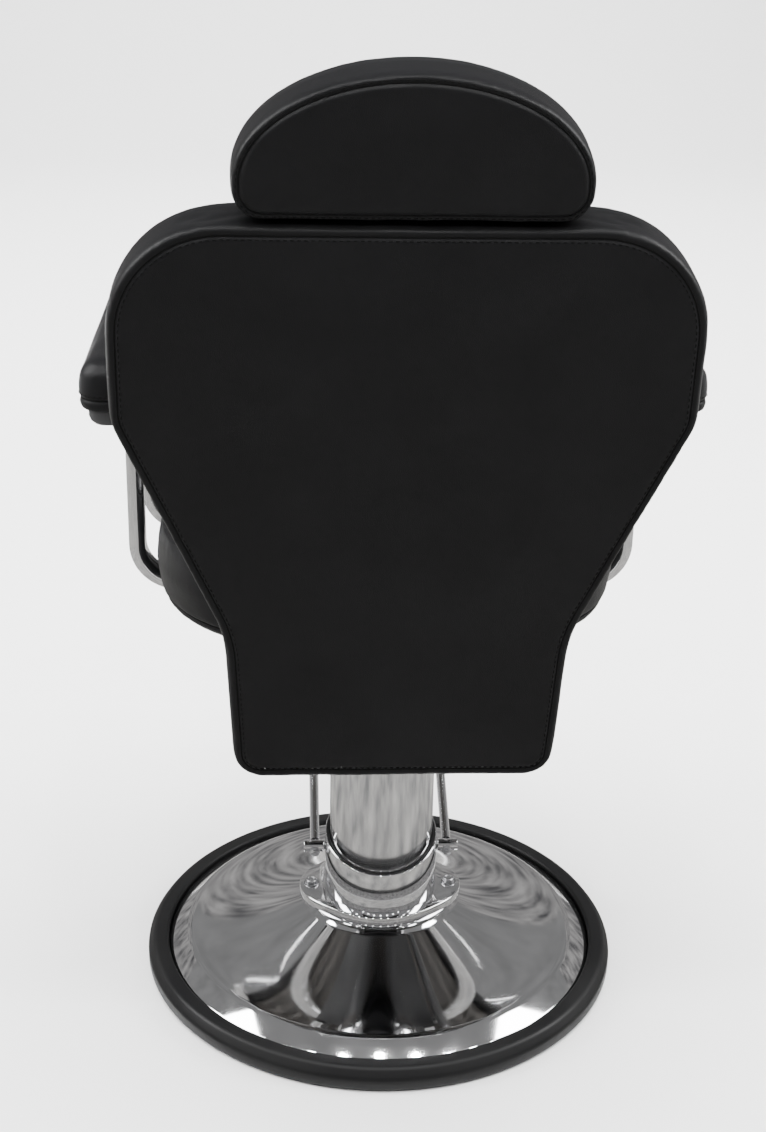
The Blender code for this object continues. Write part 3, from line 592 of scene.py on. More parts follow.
def stitches(name, item, rays):
    """A row of short thread loops lying on the skin, one for each ray."""
    spots = land(item, rays)
    count = len(spots)
    length = (spots[1][0] - spots[0][0]).length * STITCH_SHARE
    bm = bmesh.new()
    sides = 6
    shape = ((-0.5, -0.0006, 0.6), (-0.36, 0.0001, 1.0), (0.0, 0.0004, 1.05),
             (0.36, 0.0001, 1.0), (0.5, -0.0006, 0.6))
    for i, (spot, up) in enumerate(spots):
        ahead = (spots[(i + 1) % count][0] - spot).normalized()
        across = ahead.cross(up).normalized()
        up = across.cross(ahead)
        rows = []
        for along, lift, fat in shape:
            centre = spot + ahead * (along * length) + up * lift
            turns = [TURN * k / sides for k in range(sides)]
            rows.append([bm.verts.new(centre + THREAD_R * fat * (math.cos(a) * across
                                                                 + math.sin(a) * up))
                         for a in turns])
        for low, high in zip(rows, rows[1:]):
            for k in range(sides):
                j = (k + 1) % sides
                bm.faces.new((low[k], low[j], high[j], high[k]))
        bm.faces.new(rows[0][::-1])
        bm.faces.new(rows[-1])
    bmesh.ops.recalc_face_normals(bm, faces=bm.faces)
    return new_object(name, to_mesh(bm, name), THREAD)


def seam_line(name, item, rays, radius=0.0009, closed=True):
    """The dark joint at the bottom of a seam."""
    line = [spot - normal * SEAM_SINK for spot, normal in land(item, rays)[::2]]
    return new_object(name, bar_mesh(name, line, radius, 8, closed), THREAD)


def sew(item, pressure, cap, seams, **look):
    """Swell a cover between its seams, then draw it in along them."""
    inflate(item, [seam_points(item, rays) for rays in seams], pressure, cap)
    refine(item)
    lines = [seam_points(item, rays) for rays in seams]
    refine_near(item, lines)
    tailor(item, lines, **look)


def dress(item, body, frame_matrix, trims, *nodes, fill=0.7):
    """Finish a padded piece and its threads: put them in the row's frame and ride."""
    for piece in [item] + trims:
        piece.data.transform(frame_matrix)
        piece.data.update()
    item.data.materials.clear()
    item.data.materials.append(VINYL)
    item.data.shade_smooth()
    place_piece(item, body, "vinyl", *nodes)
    for piece in trims:
        place_piece(piece, body, "vinyl")


def back_outline(shrink=0.0, steps=12):
    corners = [(-BACK_WAIST, 0.0, 0.030), (BACK_WAIST, 0.0, 0.030), (0.185, 0.185, 0.160),
               (BACK_HALF_W + 0.002, 0.440, 0.060), (BACK_HALF_W, BACK_H, BACK_SHOULDER_R),
               (-BACK_HALF_W, BACK_H, BACK_SHOULDER_R), (-BACK_HALF_W - 0.002, 0.440, 0.060),
               (-0.185, 0.185, 0.160)]
    return inset(fillet(corners, steps), shrink)


def back_depth(up):
    rise = min(1.0, max(0.0, (up - 0.150) / 0.080))
    rise = rise * rise * (3 - 2 * rise)
    crown = 0.012 * math.sin(math.pi * min(1.0, max(0.0, (up - 0.15) / 0.5)))
    return 0.044 + rise * 0.036 + crown


def build_back():
    """Shield-shaped back: a flat rear panel in a boxed border, and a soft front."""
    slim = -0.001
    sections = []
    for x, z in [p for p in back_outline(slim) if p[0] > 0]:
        depth = back_depth(z) - slim
        edge = min(1.0, max(0.0, min(z - slim, BACK_H - slim - z) / 0.030))
        depth -= 0.012 * (1 - math.sqrt(1 - (1 - edge) ** 2))
        half = [(0.0, 0.001), (x * 0.6, 0.001), (x - 0.006, 0.0015), (x - 0.001, 0.006), (x, 0.014),
                (x, depth * 0.6), (x - 0.002, depth * 0.78), (x - 0.010, depth * 0.93),
                (x - 0.030, depth), (x * 0.5, depth + 0.003), (0.0, depth + 0.004)]
        right = [(px, -d, z) for px, d in half]
        left = [(-px, -d, z) for px, d in reversed(half[1:-1])]
        sections.append(right + left)
    item = new_object("back_upholstery", skin("back_upholstery", sections), VINYL)
    remesh(item, 0.0050, 3)

    rear_seam = rays_in(back_outline(0.009), "XZ", 0.0, 1)
    front_seam = rays_in(back_outline(0.020), "XZ", -0.08, -1)
    lumbar_z = 0.285
    tuck = [(x, lumbar_z - 0.014 * math.cos(x * 6)) for x in np.linspace(-0.235, 0.235, 236)]
    lumbar_seam = [(Vector((x, -0.16, z)), Vector((0, 1, 0))) for x, z in tuck]
    seams = [rear_seam, front_seam, lumbar_seam]
    sew(item, 3.5, 0.007, seams, depth=0.0022, width=0.0030, crease=0.0007, seed=1.3)
    rear_row = rays_in(back_outline(0.0125), "XZ", 0.0, 1, STITCH_PITCH)
    front_row = rays_in(back_outline(0.0245), "XZ", -0.08, -1, STITCH_PITCH)
    trims = [seam_line("back_rear_seam", item, rear_seam),
             seam_line("back_front_seam", item, front_seam),
             seam_line("back_lumbar_seam", item, lumbar_seam, closed=False),
             stitches("back_rear_stitches", item, rear_row),
             stitches("back_front_stitches", item, front_row)]
    for x in (POST_X, -POST_X):
        hole = skin("hole", [circle(0.0062, z, 24, (x, -POST_DEPTH))
                             for z in (BACK_H - 0.040, BACK_H + 0.020)])
        cut(item, hole)
    dress(item, "back", TO_BACK, trims, "back_cushion", "back_rear_panel")


def headrest_outline(shrink=0.0, steps=40):
    widest = HEADREST_Z + HEADREST_WIDEST
    points = fillet([(-HEADREST_HALF_W, HEADREST_Z, HEADREST_CORNER_R),
                     (HEADREST_HALF_W, HEADREST_Z, HEADREST_CORNER_R),
                     (HEADREST_HALF_W, widest, 0.0), (-HEADREST_HALF_W, widest, 0.0)], 10)
    points = points[:-1]
    for angle in angles(math.pi, steps)[1:]:
        points.append((HEADREST_HALF_W * math.cos(angle),
                       widest + (HEADREST_H - HEADREST_WIDEST) * math.sin(angle)))
    return inset(points, shrink)


def build_headrest():
    """Half-moon pad: flat rear panel, boxed band and a crowned front."""
    slim = 0.0015
    stack = [(0.030, 0.0), (0.007, -0.0005), (0.0015, -0.004), (0.0, -0.012), (-0.001, -0.045),
             (0.001, -0.066), (0.008, -0.080), (0.020, -0.087), (0.031, -0.089)]
    rings = [[(x, y, z) for x, z in headrest_outline(shrink + slim)] for shrink, y in stack]
    item = new_object("headrest_upholstery", skin("headrest_upholstery", rings), VINYL)
    remesh(item, 0.0042, 3)
    rear_seam = rays_in(headrest_outline(0.009), "XZ", 0.0, 1)
    front_seam = rays_in(headrest_outline(0.012), "XZ", -0.08, -1)
    sew(item, 4.0, 0.007, [rear_seam, front_seam], depth=0.0020, width=0.0028,
        pucker=0.0007, seed=4.1)
    rear_row = rays_in(headrest_outline(0.0065), "XZ", 0.0, 1, STITCH_PITCH)
    front_row = rays_in(headrest_outline(0.0165), "XZ", -0.08, -1, STITCH_PITCH)
    trims = [seam_line("headrest_rear_seam", item, rear_seam),
             seam_line("headrest_front_seam", item, front_seam),
             stitches("headrest_rear_stitches", item, rear_row),
             stitches("headrest_front_stitches", item, front_row)]
    dress(item, "headrest", TO_BACK, trims, "headrest_cushion", fill=0.8)


def seat_outline(shrink=0.0, steps=16):
    corners = [(-SEAT_HALF_W, SEAT_FRONT_Y + 0.020, 0.085), (0.0, SEAT_FRONT_Y, 1.2),
               (SEAT_HALF_W, SEAT_FRONT_Y + 0.020, 0.085), (SEAT_HALF_W, SEAT_REAR_Y, 0.180),
               (-SEAT_HALF_W, SEAT_REAR_Y, 0.180)]
    return inset(fillet(corners, steps), shrink)


def build_seat():
    """Boxed seat cushion: crowned top, bulged wall, and a narrow band below."""
    pocket = 0.030 - 0.0005
    stack = [(pocket, BOARD_TOP_Z + 0.001), (pocket, SEAT_BOTTOM_Z), (0.010, SEAT_BOTTOM_Z),
             (0.002, SEAT_BOTTOM_Z + 0.006), (-0.004, 0.513), (-0.009, 0.545),
             (-0.006, 0.575), (0.002, 0.590), (0.022, SEAT_TOP_Z - 0.006),
             (0.080, SEAT_TOP_Z - 0.002), (0.150, SEAT_TOP_Z)]
    rings = [[(x, y, z) for x, y in seat_outline(shrink)] for shrink, z in stack]
    item = new_object("seat_upholstery", skin("seat_upholstery", rings), VINYL)
    remesh(item, 0.0055, 3)
    top_seam = rays_in(seat_outline(0.0), "XY", 0.588, 0)
    low_seam = rays_in(seat_outline(0.0), "XY", SEAT_BOTTOM_Z + 0.015, 0)
    sew(item, 4.0, 0.010, [top_seam, low_seam], depth=0.0026, width=0.0032,
        crease=0.0009, seed=7.7)
    top_row = rays_in(seat_outline(0.012), "XY", SEAT_TOP_Z, 1, STITCH_PITCH)
    trims = [seam_line("seat_top_seam", item, top_seam),
             seam_line("seat_low_seam", item, low_seam),
             stitches("seat_top_stitches", item, top_row)]
    dress(item, "seat", Matrix.Identity(4), trims, "seat_cushion")


def pad_outline(low, high, shrink=0.0):
    """Rounded outline of an arm pad or its board, seen from above."""
    middle = (low.x + high.x) / 2
    half_w = (high.x - low.x) / 2
    round_r = half_w * 0.8
    corners = [(-half_w, low.y, round_r), (half_w, low.y, round_r),
               (half_w, high.y, round_r), (-half_w, high.y, round_r)]
    return [(x + middle, y) for x, y in inset(fillet(corners, 10), shrink)]


def pad_rings(low, high, stack):
    """Rings of an arm pad or board for a stack of (inset, share of the height)."""
    tall = high.z - low.z
    return [[(x, y, low.z + tall * share) for x, y in pad_outline(low, high, shrink)]
            for shrink, share in stack]


def build_arm_pad(side, sign):
    """Padded armrest with a sewn edge low on its side."""
    low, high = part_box("arm_pad_" + side)
    stack = [(0.012, 0.0), (0.003, 0.06), (0.002, 0.25), (0.002, 0.5), (0.004, 0.75),
             (0.012, 0.92), (0.024, 1.0)]
    name = "arm_upholstery_" + side
    item = new_object(name, skin(name, pad_rings(low, high, stack)), VINYL)
    remesh(item, 0.0038, 3)
    tall = high.z - low.z
    around = pad_outline(low, high)
    edge = rays_in(around, "XY", low.z + tall * 0.26, 0)
    sew(item, 4.0, 0.005, [edge], depth=0.0018, width=0.0026, seed=10.0 + sign)
    row = rays_in(around, "XY", low.z + tall * 0.34, 0, STITCH_PITCH)
    trims = [seam_line("arm_seam_" + side, item, edge, 0.0008),
             stitches("arm_stitches_" + side, item, row)]
    dress(item, "seat", Matrix.Identity(4), trims, "arm_pad_" + side, fill=0.8)


# ---------------------------------------------------------------- base and column

def build_base():
    """Rubber ring and spun bell."""
    outer, _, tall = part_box("base_rubber_ring")[1]
    inner = 0.2735
    ring = fillet([(inner, 0.0, 0.001), (outer, 0.0, 0.007), (outer, tall * 0.62, 0.010),
                   (outer - 0.008, tall, 0.008), (inner, tall, 0.004)])
    item = turned("rubber_ring", ring[::-1], RUBBER, 160)
    place_piece(item, "base", "rubber", "base_rubber_ring")

    low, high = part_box("base_bell")
    foot, top = low.z, high.z
    rim = 0.2730
    roll, roll_z = 0.0075, 0.0185
    neck = 0.092
    tilt = math.radians(30)
    outer_line = [(rim, foot)]
    for angle in angles(math.pi / 2 - tilt, 6):
        outer_line.append((rim - roll + roll * math.cos(angle), roll_z + roll * math.sin(angle)))
    edge_r, edge_z = 0.2495, 0.0364
    bend = 0.020
    for drop in angles(tilt - math.radians(4), 8):
        angle = tilt - drop
        outer_line.append((edge_r - bend * (math.sin(tilt) - math.sin(angle)),
                           edge_z + bend * (math.cos(angle) - math.cos(tilt))))
    shoulder_r, shoulder_z = outer_line[-1]
    rise = top - 0.004 - shoulder_z
    for t in angles(1, 36)[1:]:
        outer_line.append((shoulder_r + (neck + 0.006 - shoulder_r) * t,
                           shoulder_z + 0.010 * t + (rise - 0.010) * t ** 1.6))
    outer_line += [(neck + 0.0035, top - 0.0012), (neck, top), (0.060, top)]
    sheet = 0.0022
    inner_line = [(r - 0.0011, z - sheet) for r, z in reversed(outer_line[4:-1])]
    profile = outer_line + [(0.060, top - sheet)] + inner_line + [(rim - sheet, foot)]
    item = turned("bell", profile, CHROME, 192)
    place_piece(item, "base", "chrome", "base_bell")


def build_flange():
    """Flange with two ears, and the bolts in them."""
    low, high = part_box("pump_flange")
    plan = []
    sides = 128
    for i in range(sides):
        angle = TURN * i / sides
        radius = high.y + (high.x - high.y) * abs(math.cos(angle)) ** 6
        plan.append((radius * math.cos(angle), radius * math.sin(angle)))
    bevel = 0.0014
    stack = [(0.0, low.z), (0.0, high.z - bevel), (bevel * 0.3, high.z - bevel * 0.3),
             (bevel, high.z)]
    rings = [[(x, y, z) for x, y in inset(plan, shrink)] for shrink, z in stack]
    bore = 0.0575
    rings += [circle(bore, high.z, sides), circle(bore, low.z, sides)]
    item = new_object("flange", skin("flange", rings, closed=True), CHROME, crease=50)
    place_piece(item, "base", "chrome", "pump_flange")
    for side in ("left", "right"):
        node = "flange_bolt_" + side
        near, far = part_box(node)
        x = (near.x + far.x) / 2
        head = 0.0075
        base_z = high.z + 0.0003
        washer = [(head + 0.0022, base_z), (head + 0.0022, base_z + 0.0010)]
        rings = [circle(0.0041, near.z, 24, (x, 0)), circle(0.0041, base_z, 24, (x, 0))]
        rings += [circle(r, z, 24, (x, 0)) for r, z in washer]
        rings += [hexagon(head, z, (x, 0)) for z in (base_z + 0.0011, far.z - 0.0010)]
        rings += [circle(head * share, far.z + rise, 24, (x, 0)) for share, rise in
                  ((0.80, 0.0), (0.62, 0.0001), (0.54, -0.0006))]
        item = new_object("ear_bolt_" + side, skin(node, rings), STEEL, crease=30)
        place_piece(item, "base", "steel", node)


def hexagon(radius, z, centre, points=24):
    """A hexagon with as many points as a circle, so the two skin together."""
    ring = []
    for i in range(points):
        angle = TURN * i / points
        off = (angle % (math.pi / 3)) - math.pi / 6
        r = radius * math.cos(math.pi / 6) / math.cos(off)
        ring.append((centre[0] + r * math.cos(angle), centre[1] + r * math.sin(angle), z))
    return ring


def sloping_ring(name, outer, inner, low, middle, slope, finish, edge=0.0008, sides=160):
    """A tube whose upper rim falls towards the rear, with eased rim edges."""
    def rim(radius, drop):
        return [(x, y, middle - slope * y - drop) for x, y, _ in circle(radius, 0.0, sides)]
    rings = [circle(inner, low, sides), circle(outer, low, sides), rim(outer, edge * 1.6),
             rim(outer - edge * 0.3, edge * 0.5), rim(outer - edge, 0.0), rim(inner + edge, 0.0),
             rim(inner + edge * 0.3, edge * 0.5), rim(inner, edge * 1.6)]
    return new_object(name, skin(name, rings, closed=True), finish, crease=50)


def build_column():
    """Collar, seal, cover, cap and ram."""
    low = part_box("pump_collar")[0].z
    item = sloping_ring("collar", 0.0712, 0.0693, low, 0.172, 0.33, CHROME)
    place_piece(item, "base", "chrome", "pump_collar")
    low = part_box("collar_seal")[0].z
    item = sloping_ring("column_seal", 0.0690, 0.0658, low, 0.1712, 0.33, RUBBER)
    cut(item, box_mesh((-0.09, -0.010, 0.120), (0.09, 0.010, SHAFT_Z + 0.0085)))
    place_piece(item, "base", "rubber", "collar_seal")
    low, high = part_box("column_cover")
    outer = high.x
    inner = outer - 0.0018
    ease = 0.0006
    profile = [(inner, low.z), (outer - ease, low.z), (outer, low.z + ease), (outer, high.z - ease),
               (outer - ease, high.z), (inner, high.z)]
    item = turned("cover_tube", profile, CHROME, 192)
    cut(item, box_mesh((-0.09, -0.008, 0.10), (0.09, 0.008, SHAFT_Z + 0.008)))
    place_piece(item, "lift", "chrome", "column_cover")
    low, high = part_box("column_cap")
    cap = fillet([(0.0228, low.z, 0.0003), (outer, low.z, 0.0008), (outer, high.z, 0.0022),
                  (0.0228, high.z, 0.0005)], 5)
    place_piece(turned("cap_ring", cap[::-1], CHROME, 128), "lift", "chrome", "column_cap")
    low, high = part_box("piston_ram")
    ram_r = high.x
    ram = [(ram_r - 0.002, low.z), (ram_r, low.z + 0.002), (ram_r, high.z - 0.004),
           (ram_r - 0.003, high.z)]
    place_piece(turned("ram", ram, CHROME, 64, closed=False), "lift", "chrome", "piston_ram")


# ---------------------------------------------------------------- pedal

def pedal_point(x, along):
    return (x, -along * math.cos(ROD_SLOPE), SHAFT_Z + along * math.sin(ROD_SLOPE))


def build_pedal():
    """Hubs and nuts on the shaft, the bent bar and its ribbed sleeve."""
    for side, sign in SIDES:
        low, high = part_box("pedal_hub_" + side)
        hub_r = (high.z - low.z) / 2
        length = high.x - low.x
        ease = 0.0009
        profile = fillet([(0.0053, 0.0, 0.0002), (hub_r, 0.0, ease), (hub_r, length, ease),
                          (0.0053, length, 0.0002)], 4)
        item = turned("hub_" + side, profile[::-1], CHROME, 48, (low.x, 0, SHAFT_Z),
                      (high.x, 0, SHAFT_Z))
        place_piece(item, "pedal", "chrome", "pedal_hub_" + side)
        rings = [hexagon(0.0066, z, (0, 0)) for z in (0.0, 0.0044)]
        rings += [circle(radius, z, 24) for radius, z in
                  ((0.0054, 0.0056), (0.0034, 0.0056), (0.0034, 0.0062), (0.0022, 0.0066))]
        mesh = skin("rod_nut_" + side, rings)
        stand(mesh, pedal_point(sign * ROD_X, -hub_r - 0.0003),
              pedal_point(sign * ROD_X, -hub_r - 0.0062))
        item = new_object("rod_nut_" + side, mesh, STEEL, crease=30)
        place_piece(item, "pedal", "steel", "pedal_nut_" + side)
    bend = 0.030
    path = [pedal_point(ROD_X, 0.0081)]
    for sign in (1, -1):
        arc = []
        for angle in angles(math.pi / 2, BEND_STEPS):
            across = ROD_X - bend + bend * math.cos(angle)
            arc.append(pedal_point(sign * across, PEDAL_REACH - bend + bend * math.sin(angle)))
        path += arc if sign == 1 else arc[::-1]
    path.append(pedal_point(-ROD_X, 0.0081))
    item = new_object("foot_bar", bar_mesh("foot_bar", path, ROD_R, 28), CHROME)
    place_piece(item, "pedal", "chrome", "pedal_bar")
    start, end = pedal_point(0.050, PEDAL_REACH), pedal_point(-0.050, PEDAL_REACH)
    item = ribbed_sleeve("foot_sleeve", start, end, 0.0063, 0.0108, 0.0115, 14)
    place_piece(item, "pedal", "rubber", "pedal_sleeve")


def ribbed_sleeve(name, start, end, bore, groove, rib, ribs):
    """A rubber sleeve with rounded rings along it."""
    length = (Vector(end) - Vector(start)).length
    profile = [(bore, 0.0), (rib - 0.001, 0.0)]
    for t in angles(1, ribs * 10):
        wave = 0.5 - 0.5 * math.cos(TURN * ribs * t)
        profile.append((groove + (rib - groove) * wave ** 0.6, 0.001 + (length - 0.002) * t))
    profile += [(rib - 0.001, length), (bore, length)]
    return turned(name, profile, RUBBER, 48, start, end)


def build_return_spring():
    """The plunger's spring, a fixed coil on the base; nothing here shortens it as the plunger rises."""
    node = "plunger_spring"
    low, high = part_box(node)
    middle_y = (low.y + high.y) / 2
    wire = 0.0008
    turns = 3
    coil_r = (high.x - low.x) / 2 - wire
    start_z, end_z = low.z + wire, high.z - wire
    path = []
    for t in angles(1, turns * 24):
        angle = TURN * turns * t
        path.append((coil_r * math.cos(angle), middle_y + coil_r * math.sin(angle),
                     start_z + (end_z - start_z) * t))
    item = new_object("return_spring", bar_mesh("return_spring", path, wire, 10), STEEL)
    place_piece(item, "base", "steel", node)
    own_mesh(item)


# ---------------------------------------------------------------- arms and metalwork

def oval(centre, wide_axis, thin_axis, sides=32):
    """A ring of the flat-sided oval arm tube."""
    ring = []
    straight = (ARM_TUBE_W - ARM_TUBE_T) / 2
    for i in range(sides):
        angle = TURN * (i + 0.5) / sides
        wide = math.cos(angle) * ARM_TUBE_T / 2
        wide += math.copysign(straight, wide)
        thin = math.sin(angle) * ARM_TUBE_T / 2
        ring.append(Vector(centre) + wide * Vector(wide_axis) + thin * Vector(thin_axis))
    return ring


def arm_loop(name, sign):
    """One tube: out from under the seat, up, over and back down in front."""
    low_z, high_z = ARM_TUBE_Z
    rear_y, front_y = ARM_LEG_Y
    knee = 0.050
    top = 0.060
    y_axis = Vector((0, 1, 0))
    across = Vector((-sign, 0, 0))
    quarter = angles(math.pi / 2, BEND_STEPS)

    def lower(leg_y):
        rings = [oval((sign * 0.1155, leg_y, low_z), y_axis, (0, 0, 1))]
        for angle in quarter:
            x = ARM_TUBE_X - knee + knee * math.sin(angle)
            z = low_z + knee - knee * math.cos(angle)
            thin_axis = (-sign * math.sin(angle), 0, math.cos(angle))
            rings.append(oval((sign * x, leg_y, z), y_axis, thin_axis))
        return rings

    path = lower(rear_y)
    for angle in quarter:
        centre = (sign * ARM_TUBE_X, rear_y - top + top * math.cos(angle),
                  high_z - top + top * math.sin(angle))
        path.append(oval(centre, (0, math.cos(angle), math.sin(angle)), across))
    for angle in quarter:
        centre = (sign * ARM_TUBE_X, front_y + top - top * math.sin(angle),
                  high_z - top + top * math.cos(angle))
        path.append(oval(centre, (0, -math.sin(angle), math.cos(angle)), across))
    for ring in reversed(lower(front_y)):
        half = len(ring) // 2
        path.append(ring[:half][::-1] + ring[half:][::-1])
    return new_object(name, skin(name, path), CHROME)


def build_arms():
    """Tubes, boards and pads of both armrests."""
    for side, sign in SIDES:
        place_piece(arm_loop("arm_loop_" + side, sign), "seat", "chrome", "arm_frame_" + side)
        node = "arm_board_" + side
        stack = [(0.012, 0.0), (0.006, 0.08), (0.002, 0.28), (0.0, 0.55), (0.0, 1.0)]
        rings = pad_rings(*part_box(node), stack)
        item = new_object("under_board_" + side, skin(node, rings), PLASTIC, crease=50)
        place_piece(item, "seat", "plastic", node)
        build_arm_pad(side, sign)


def build_posts():
    """The headrest's two posts."""
    for side, sign in SIDES:
        node = "headrest_post_" + side
        x = sign * POST_X
        low_up = BACK_H - 0.140
        high_up = HEADREST_Z + 0.060
        radius = 0.005
        line = [(radius - 0.0015, 0.0), (radius, 0.0015), (radius, high_up - low_up)]
        start, end = (TO_BACK @ Vector((x, -POST_DEPTH, up)) for up in (low_up, high_up))
        item = turned("post_" + side, line, CHROME, 32, start, end, closed=False)
        place_piece(item, "headrest", "chrome", node)


def build_footrest():
    """Bent footrest bar with a ribbed tread on its crossbar."""
    top, low = Vector((0, -0.300, 0.4380)), Vector((0, -0.500, 0.205))
    half = 0.105
    down = (low - top).normalized()
    reach = (low - top).length
    bend = 0.045
    path = []
    for sign in (1, -1):
        side = [top + Vector((sign * half, 0.200, 0))]
        for t in angles(1, BEND_STEPS):
            here = top + Vector((0, 1, 0)) * 0.030 * (1 - t) ** 2 + down * 0.030 * t ** 2
            side.append(here + Vector((sign * half, 0, 0)))
        for angle in angles(math.pi / 2, BEND_STEPS):
            across = half - bend + bend * math.cos(angle)
            along = reach - bend + bend * math.sin(angle)
            side.append(top + down * along + Vector((sign * across, 0, 0)))
        path += side if sign == 1 else side[::-1]
    item = new_object("foot_rest_bar", bar_mesh("foot_rest_bar", path, 0.0110, 32), CHROME)
    place_piece(item, "seat", "chrome", "footrest_bar")
    start, end = (low + Vector((x, 0, 0)) for x in (0.056, -0.056))
    item = ribbed_sleeve("foot_rest_tread", start, end, 0.0113, 0.0163, 0.0175, 14)
    place_piece(item, "seat", "rubber", "footrest_tread")


def smooth_path(knots, steps=6):
    """A smooth line through every knot (Catmull-Rom)."""
    path = []
    for i, (a, b) in enumerate(zip(knots, knots[1:])):
        before = knots[max(i - 1, 0)]
        after = knots[min(i + 2, len(knots) - 1)]
        bow = 2 * before - 5 * a + 4 * b - after
        twist = 3 * a - before - 3 * b + after
        for k in range(steps):
            t = k / steps
            path.append(0.5 * ((2 * a) + (b - before) * t + bow * t * t + twist * t ** 3))
    path.append(knots[-1])
    return path


def build_lever():
    """Recline lever: a bent rod with a moulded grip."""
    start = Vector(JOINTS["lever_pull"]["pos_m"])
    knots = [start + Vector(step) for step in
             ((-0.0006, 0, 0), (-0.030, 0, 0), (-0.050, -0.002, -0.003), (-0.070, -0.010, -0.010),
              (-0.086, -0.024, -0.018), (-0.094, -0.042, -0.024), (-0.096, -0.060, -0.028),
              (-0.096, -0.128, -0.030))]
    path = smooth_path(knots)
    item = new_object("release_lever", bar_mesh("release_lever", path, 0.0050, 24), CHROME)
    place_piece(item, "lever", "chrome", "recline_lever")
    near, far = (knot + Vector((0, -0.012, 0)) for knot in knots[-2:])
    length = (far - near).length
    profile = [(0.0053, 0.0), (0.0085, 0.0), (0.0095, 0.002)]
    for t in angles(1, 24):
        radius = 0.0103 - 0.0012 * math.cos(8 * math.pi * t) * (1 - t)
        profile.append((radius, 0.004 + (length - 0.012) * t))
    profile += [(0.0088, length - 0.003), (0.0060, length - 0.0006), (0.0020, length),
                (0.0020, length - 0.004), (0.0053, length - 0.006)]
    item = turned("lever_handle", profile, PLASTIC, 40, near, far)
    place_piece(item, "lever", "plastic", "lever_grip")


def finish_cad_nodes():
    """Every CAD node that still shows takes its slot's finish, smoothly shaded."""
    slots = {part["node"]: part["material_slot"] for part in frame["record"]["subparts"]}
    for name, item in NODES.items():
        if item.hide_render:
            continue
        item.data.materials.clear()
        item.data.materials.append(SLOT_FINISH[slots[name]])
        weld = item.modifiers.new("weld", "WELD")
        weld.merge_threshold = 0.00002
        shade(item.data, 35)


# ---------------------------------------------------------------- stage

def aim(item, target):
    item.rotation_euler = (Vector(target) - item.location).to_track_quat("-Z", "Y").to_euler()


def area_light(name, place, target, size, power, mirrored=True):
    lamp = bpy.data.lights.new(name, "AREA")
    lamp.shape = "RECTANGLE"
    lamp.size, lamp.size_y = size
    lamp.energy = power
    item = add_object(name, lamp)
    item.location = place
    item.visible_glossy = mirrored
    aim(item, target)


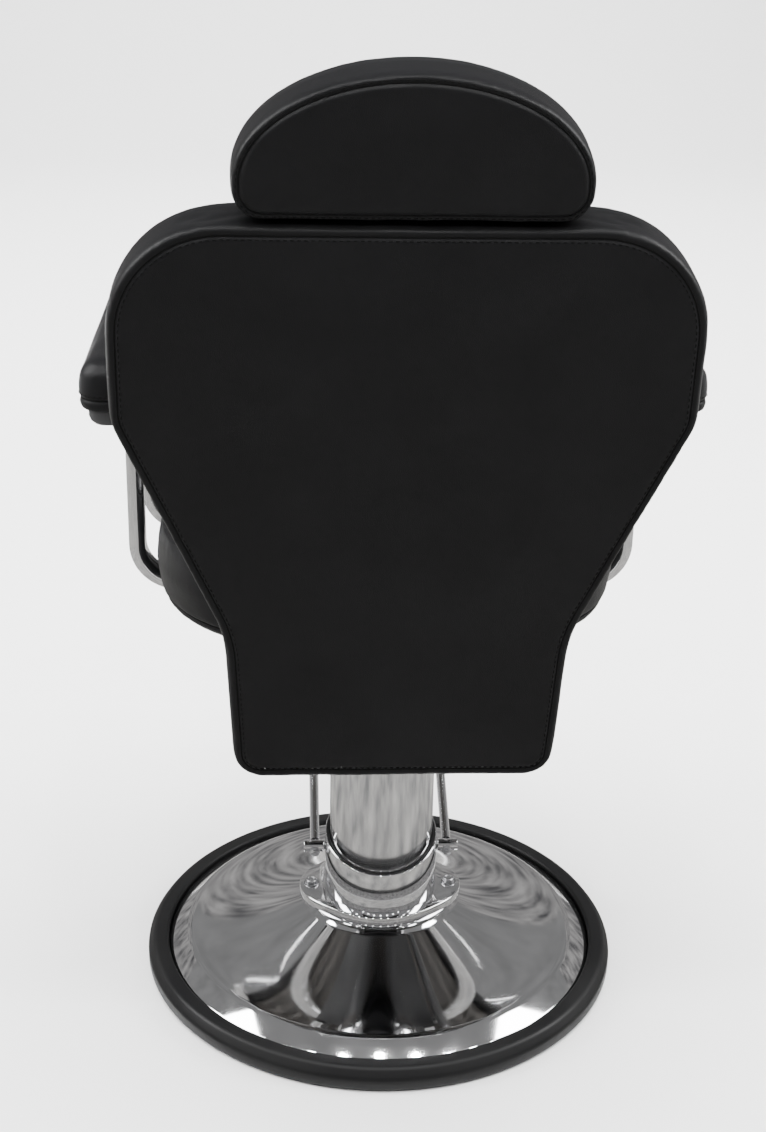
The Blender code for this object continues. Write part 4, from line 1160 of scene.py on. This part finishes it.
def build_stage():
    """A pale floor that curves up into a backdrop, and soft studio light."""
    made, links, shader, add = node_material("studio_paper")
    tooth = noise_field(links, add, object_space(add), 40)
    links.new(spread(links, add, tooth, 0.85, 0.95), shader.inputs["Roughness"])
    set_shader(shader, Base_Color=(0.93, 0.93, 0.93, 1), Specular_IOR_Level=0.1)
    half, near, far, wall, curve = 30.0, 14.0, -9.0, 8.0, 3.0
    line = [(near, 0.0)]
    for angle in angles(math.pi / 2, 16):
        line.append((far + curve - curve * math.sin(angle), curve - curve * math.cos(angle)))
    line.append((far, wall))
    bm = bmesh.new()
    rows = [[bm.verts.new((x, y, z)) for y, z in line] for x in (-half, half)]
    for i in range(len(line) - 1):
        bm.faces.new((rows[0][i], rows[1][i], rows[1][i + 1], rows[0][i + 1]))
    new_object("paper_sweep", to_mesh(bm, "paper_sweep"), made)

    world = bpy.data.worlds.new("studio")
    world.use_nodes = True
    back = world.node_tree.nodes["Background"]
    back.inputs["Color"].default_value = (1.0, 1.0, 1.0, 1)
    back.inputs["Strength"].default_value = 0.24
    bpy.context.scene.world = world
    area_light("overhead", (0.0, -0.6, 3.8), (0, 0, 0), (3.6, 3.0), 430, False)
    area_light("left_soft", (3.4, -0.2, 2.8), (0, -0.2, 0.3), (1.2, 2.6), 190)
    area_light("right_soft", (-3.4, -0.2, 2.8), (0, -0.2, 0.3), (1.2, 2.6), 190)
    area_light("backdrop_light", (0.0, -3.0, 4.6), (0, -7.5, 1.5), (6.0, 2.0), 1000)
    for i in range(18):
        place = (-2.4 + 0.6 * (i // 2), 0.9 + 1.2 * (i % 2), 3.0)
        area_light("ceiling_spot_" + str(i), place, (0, 0, 0), (0.11, 0.11), 8)
    # painted reflections: a dark floor card, and glowing wall and ceiling cards, that only reflections see; they
    # paint a dark floor and a grey room into the chrome and vinyl
    floor_ring = [(0.315, 0.002), (3.2, 0.002), (3.2, 0.004), (0.315, 0.004)]
    reflection_card("floor_card", floor_ring, (1.6, 1.6, 1.6),
                    ((0.08, 0.08, 0.08), (0.22, 0.215, 0.205)), False)
    wall_ring = [(6.0, 0.010), (6.0, 3.4), (5.9, 3.4), (5.9, 0.010)]
    reflection_card("wall_card", wall_ring, (0.5, 0.5, 1.3),
                    ((0.07, 0.07, 0.075), (0.50, 0.49, 0.48)), True)
    upper_ring = [(6.0, 3.41), (6.0, 9.0), (5.9, 9.0), (5.9, 3.41)]
    reflection_card("upper_card", upper_ring, (0.3, 0.3, 0.3),
                    ((0.20, 0.20, 0.20), (0.27, 0.27, 0.27)), True)


def reflection_card(name, profile, patch_scale, tones, glowing):
    """A grey card turned about the chair that only reflections see: a painted reflection,
    so that the chrome keeps its contrast against the pale floor.  Glowing cards are emissive
    and paint a room's grey walls and ceiling into the reflections, though they are no lamps."""
    made, links, shader, add = node_material(name)
    patch = noise_field(links, add, stretched_space(links, add, patch_scale), 5.0, 3)
    tone = mix_tones(links, add, spread(links, add, patch, 0.0, 1.0), *tones)
    set_shader(shader, Roughness=1.0, Specular_IOR_Level=0.0)
    if glowing:
        links.new(tone, shader.inputs["Emission Color"])
        set_shader(shader, Base_Color=(0, 0, 0, 1), Emission_Strength=1.0)
    else:
        links.new(tone, shader.inputs["Base Color"])
    rings = [circle(radius, height, 64) for radius, height in profile]
    card = new_object(name, skin(name, rings, closed=True), made)
    card.visible_camera = False
    card.visible_diffuse = False
    card.visible_shadow = False


def build_camera():
    """The photographer stands behind the chair, a little to its left."""
    distance, height = 1.953, 1.347
    around = math.radians(3.4)
    pitch = math.radians(22.5)
    roll = math.radians(1.2)
    focal_share = 1760 / 1132
    camera = bpy.data.cameras.new("camera")
    camera.sensor_width = 36
    camera.lens = 36 * focal_share
    camera.shift_x = -0.0031
    item = add_object("camera", camera)
    ahead = Vector((-math.sin(around) * math.cos(pitch), -math.cos(around) * math.cos(pitch),
                    -math.sin(pitch)))
    right = Vector((-math.cos(around), math.sin(around), 0))
    turn = Matrix((right, right.cross(ahead), -ahead)).transposed().to_4x4()
    place = Vector((distance * math.sin(around), distance * math.cos(around), height))
    item.matrix_world = Matrix.Translation(place) @ turn @ Matrix.Rotation(roll, 4, "Z")
    bpy.context.scene.camera = item


build_camera()
build_stage()
build_base()
build_flange()
build_column()
build_pedal()
build_return_spring()
build_back()
build_headrest()
build_seat()
build_arms()
build_posts()
build_footrest()
build_lever()
finish_cad_nodes()
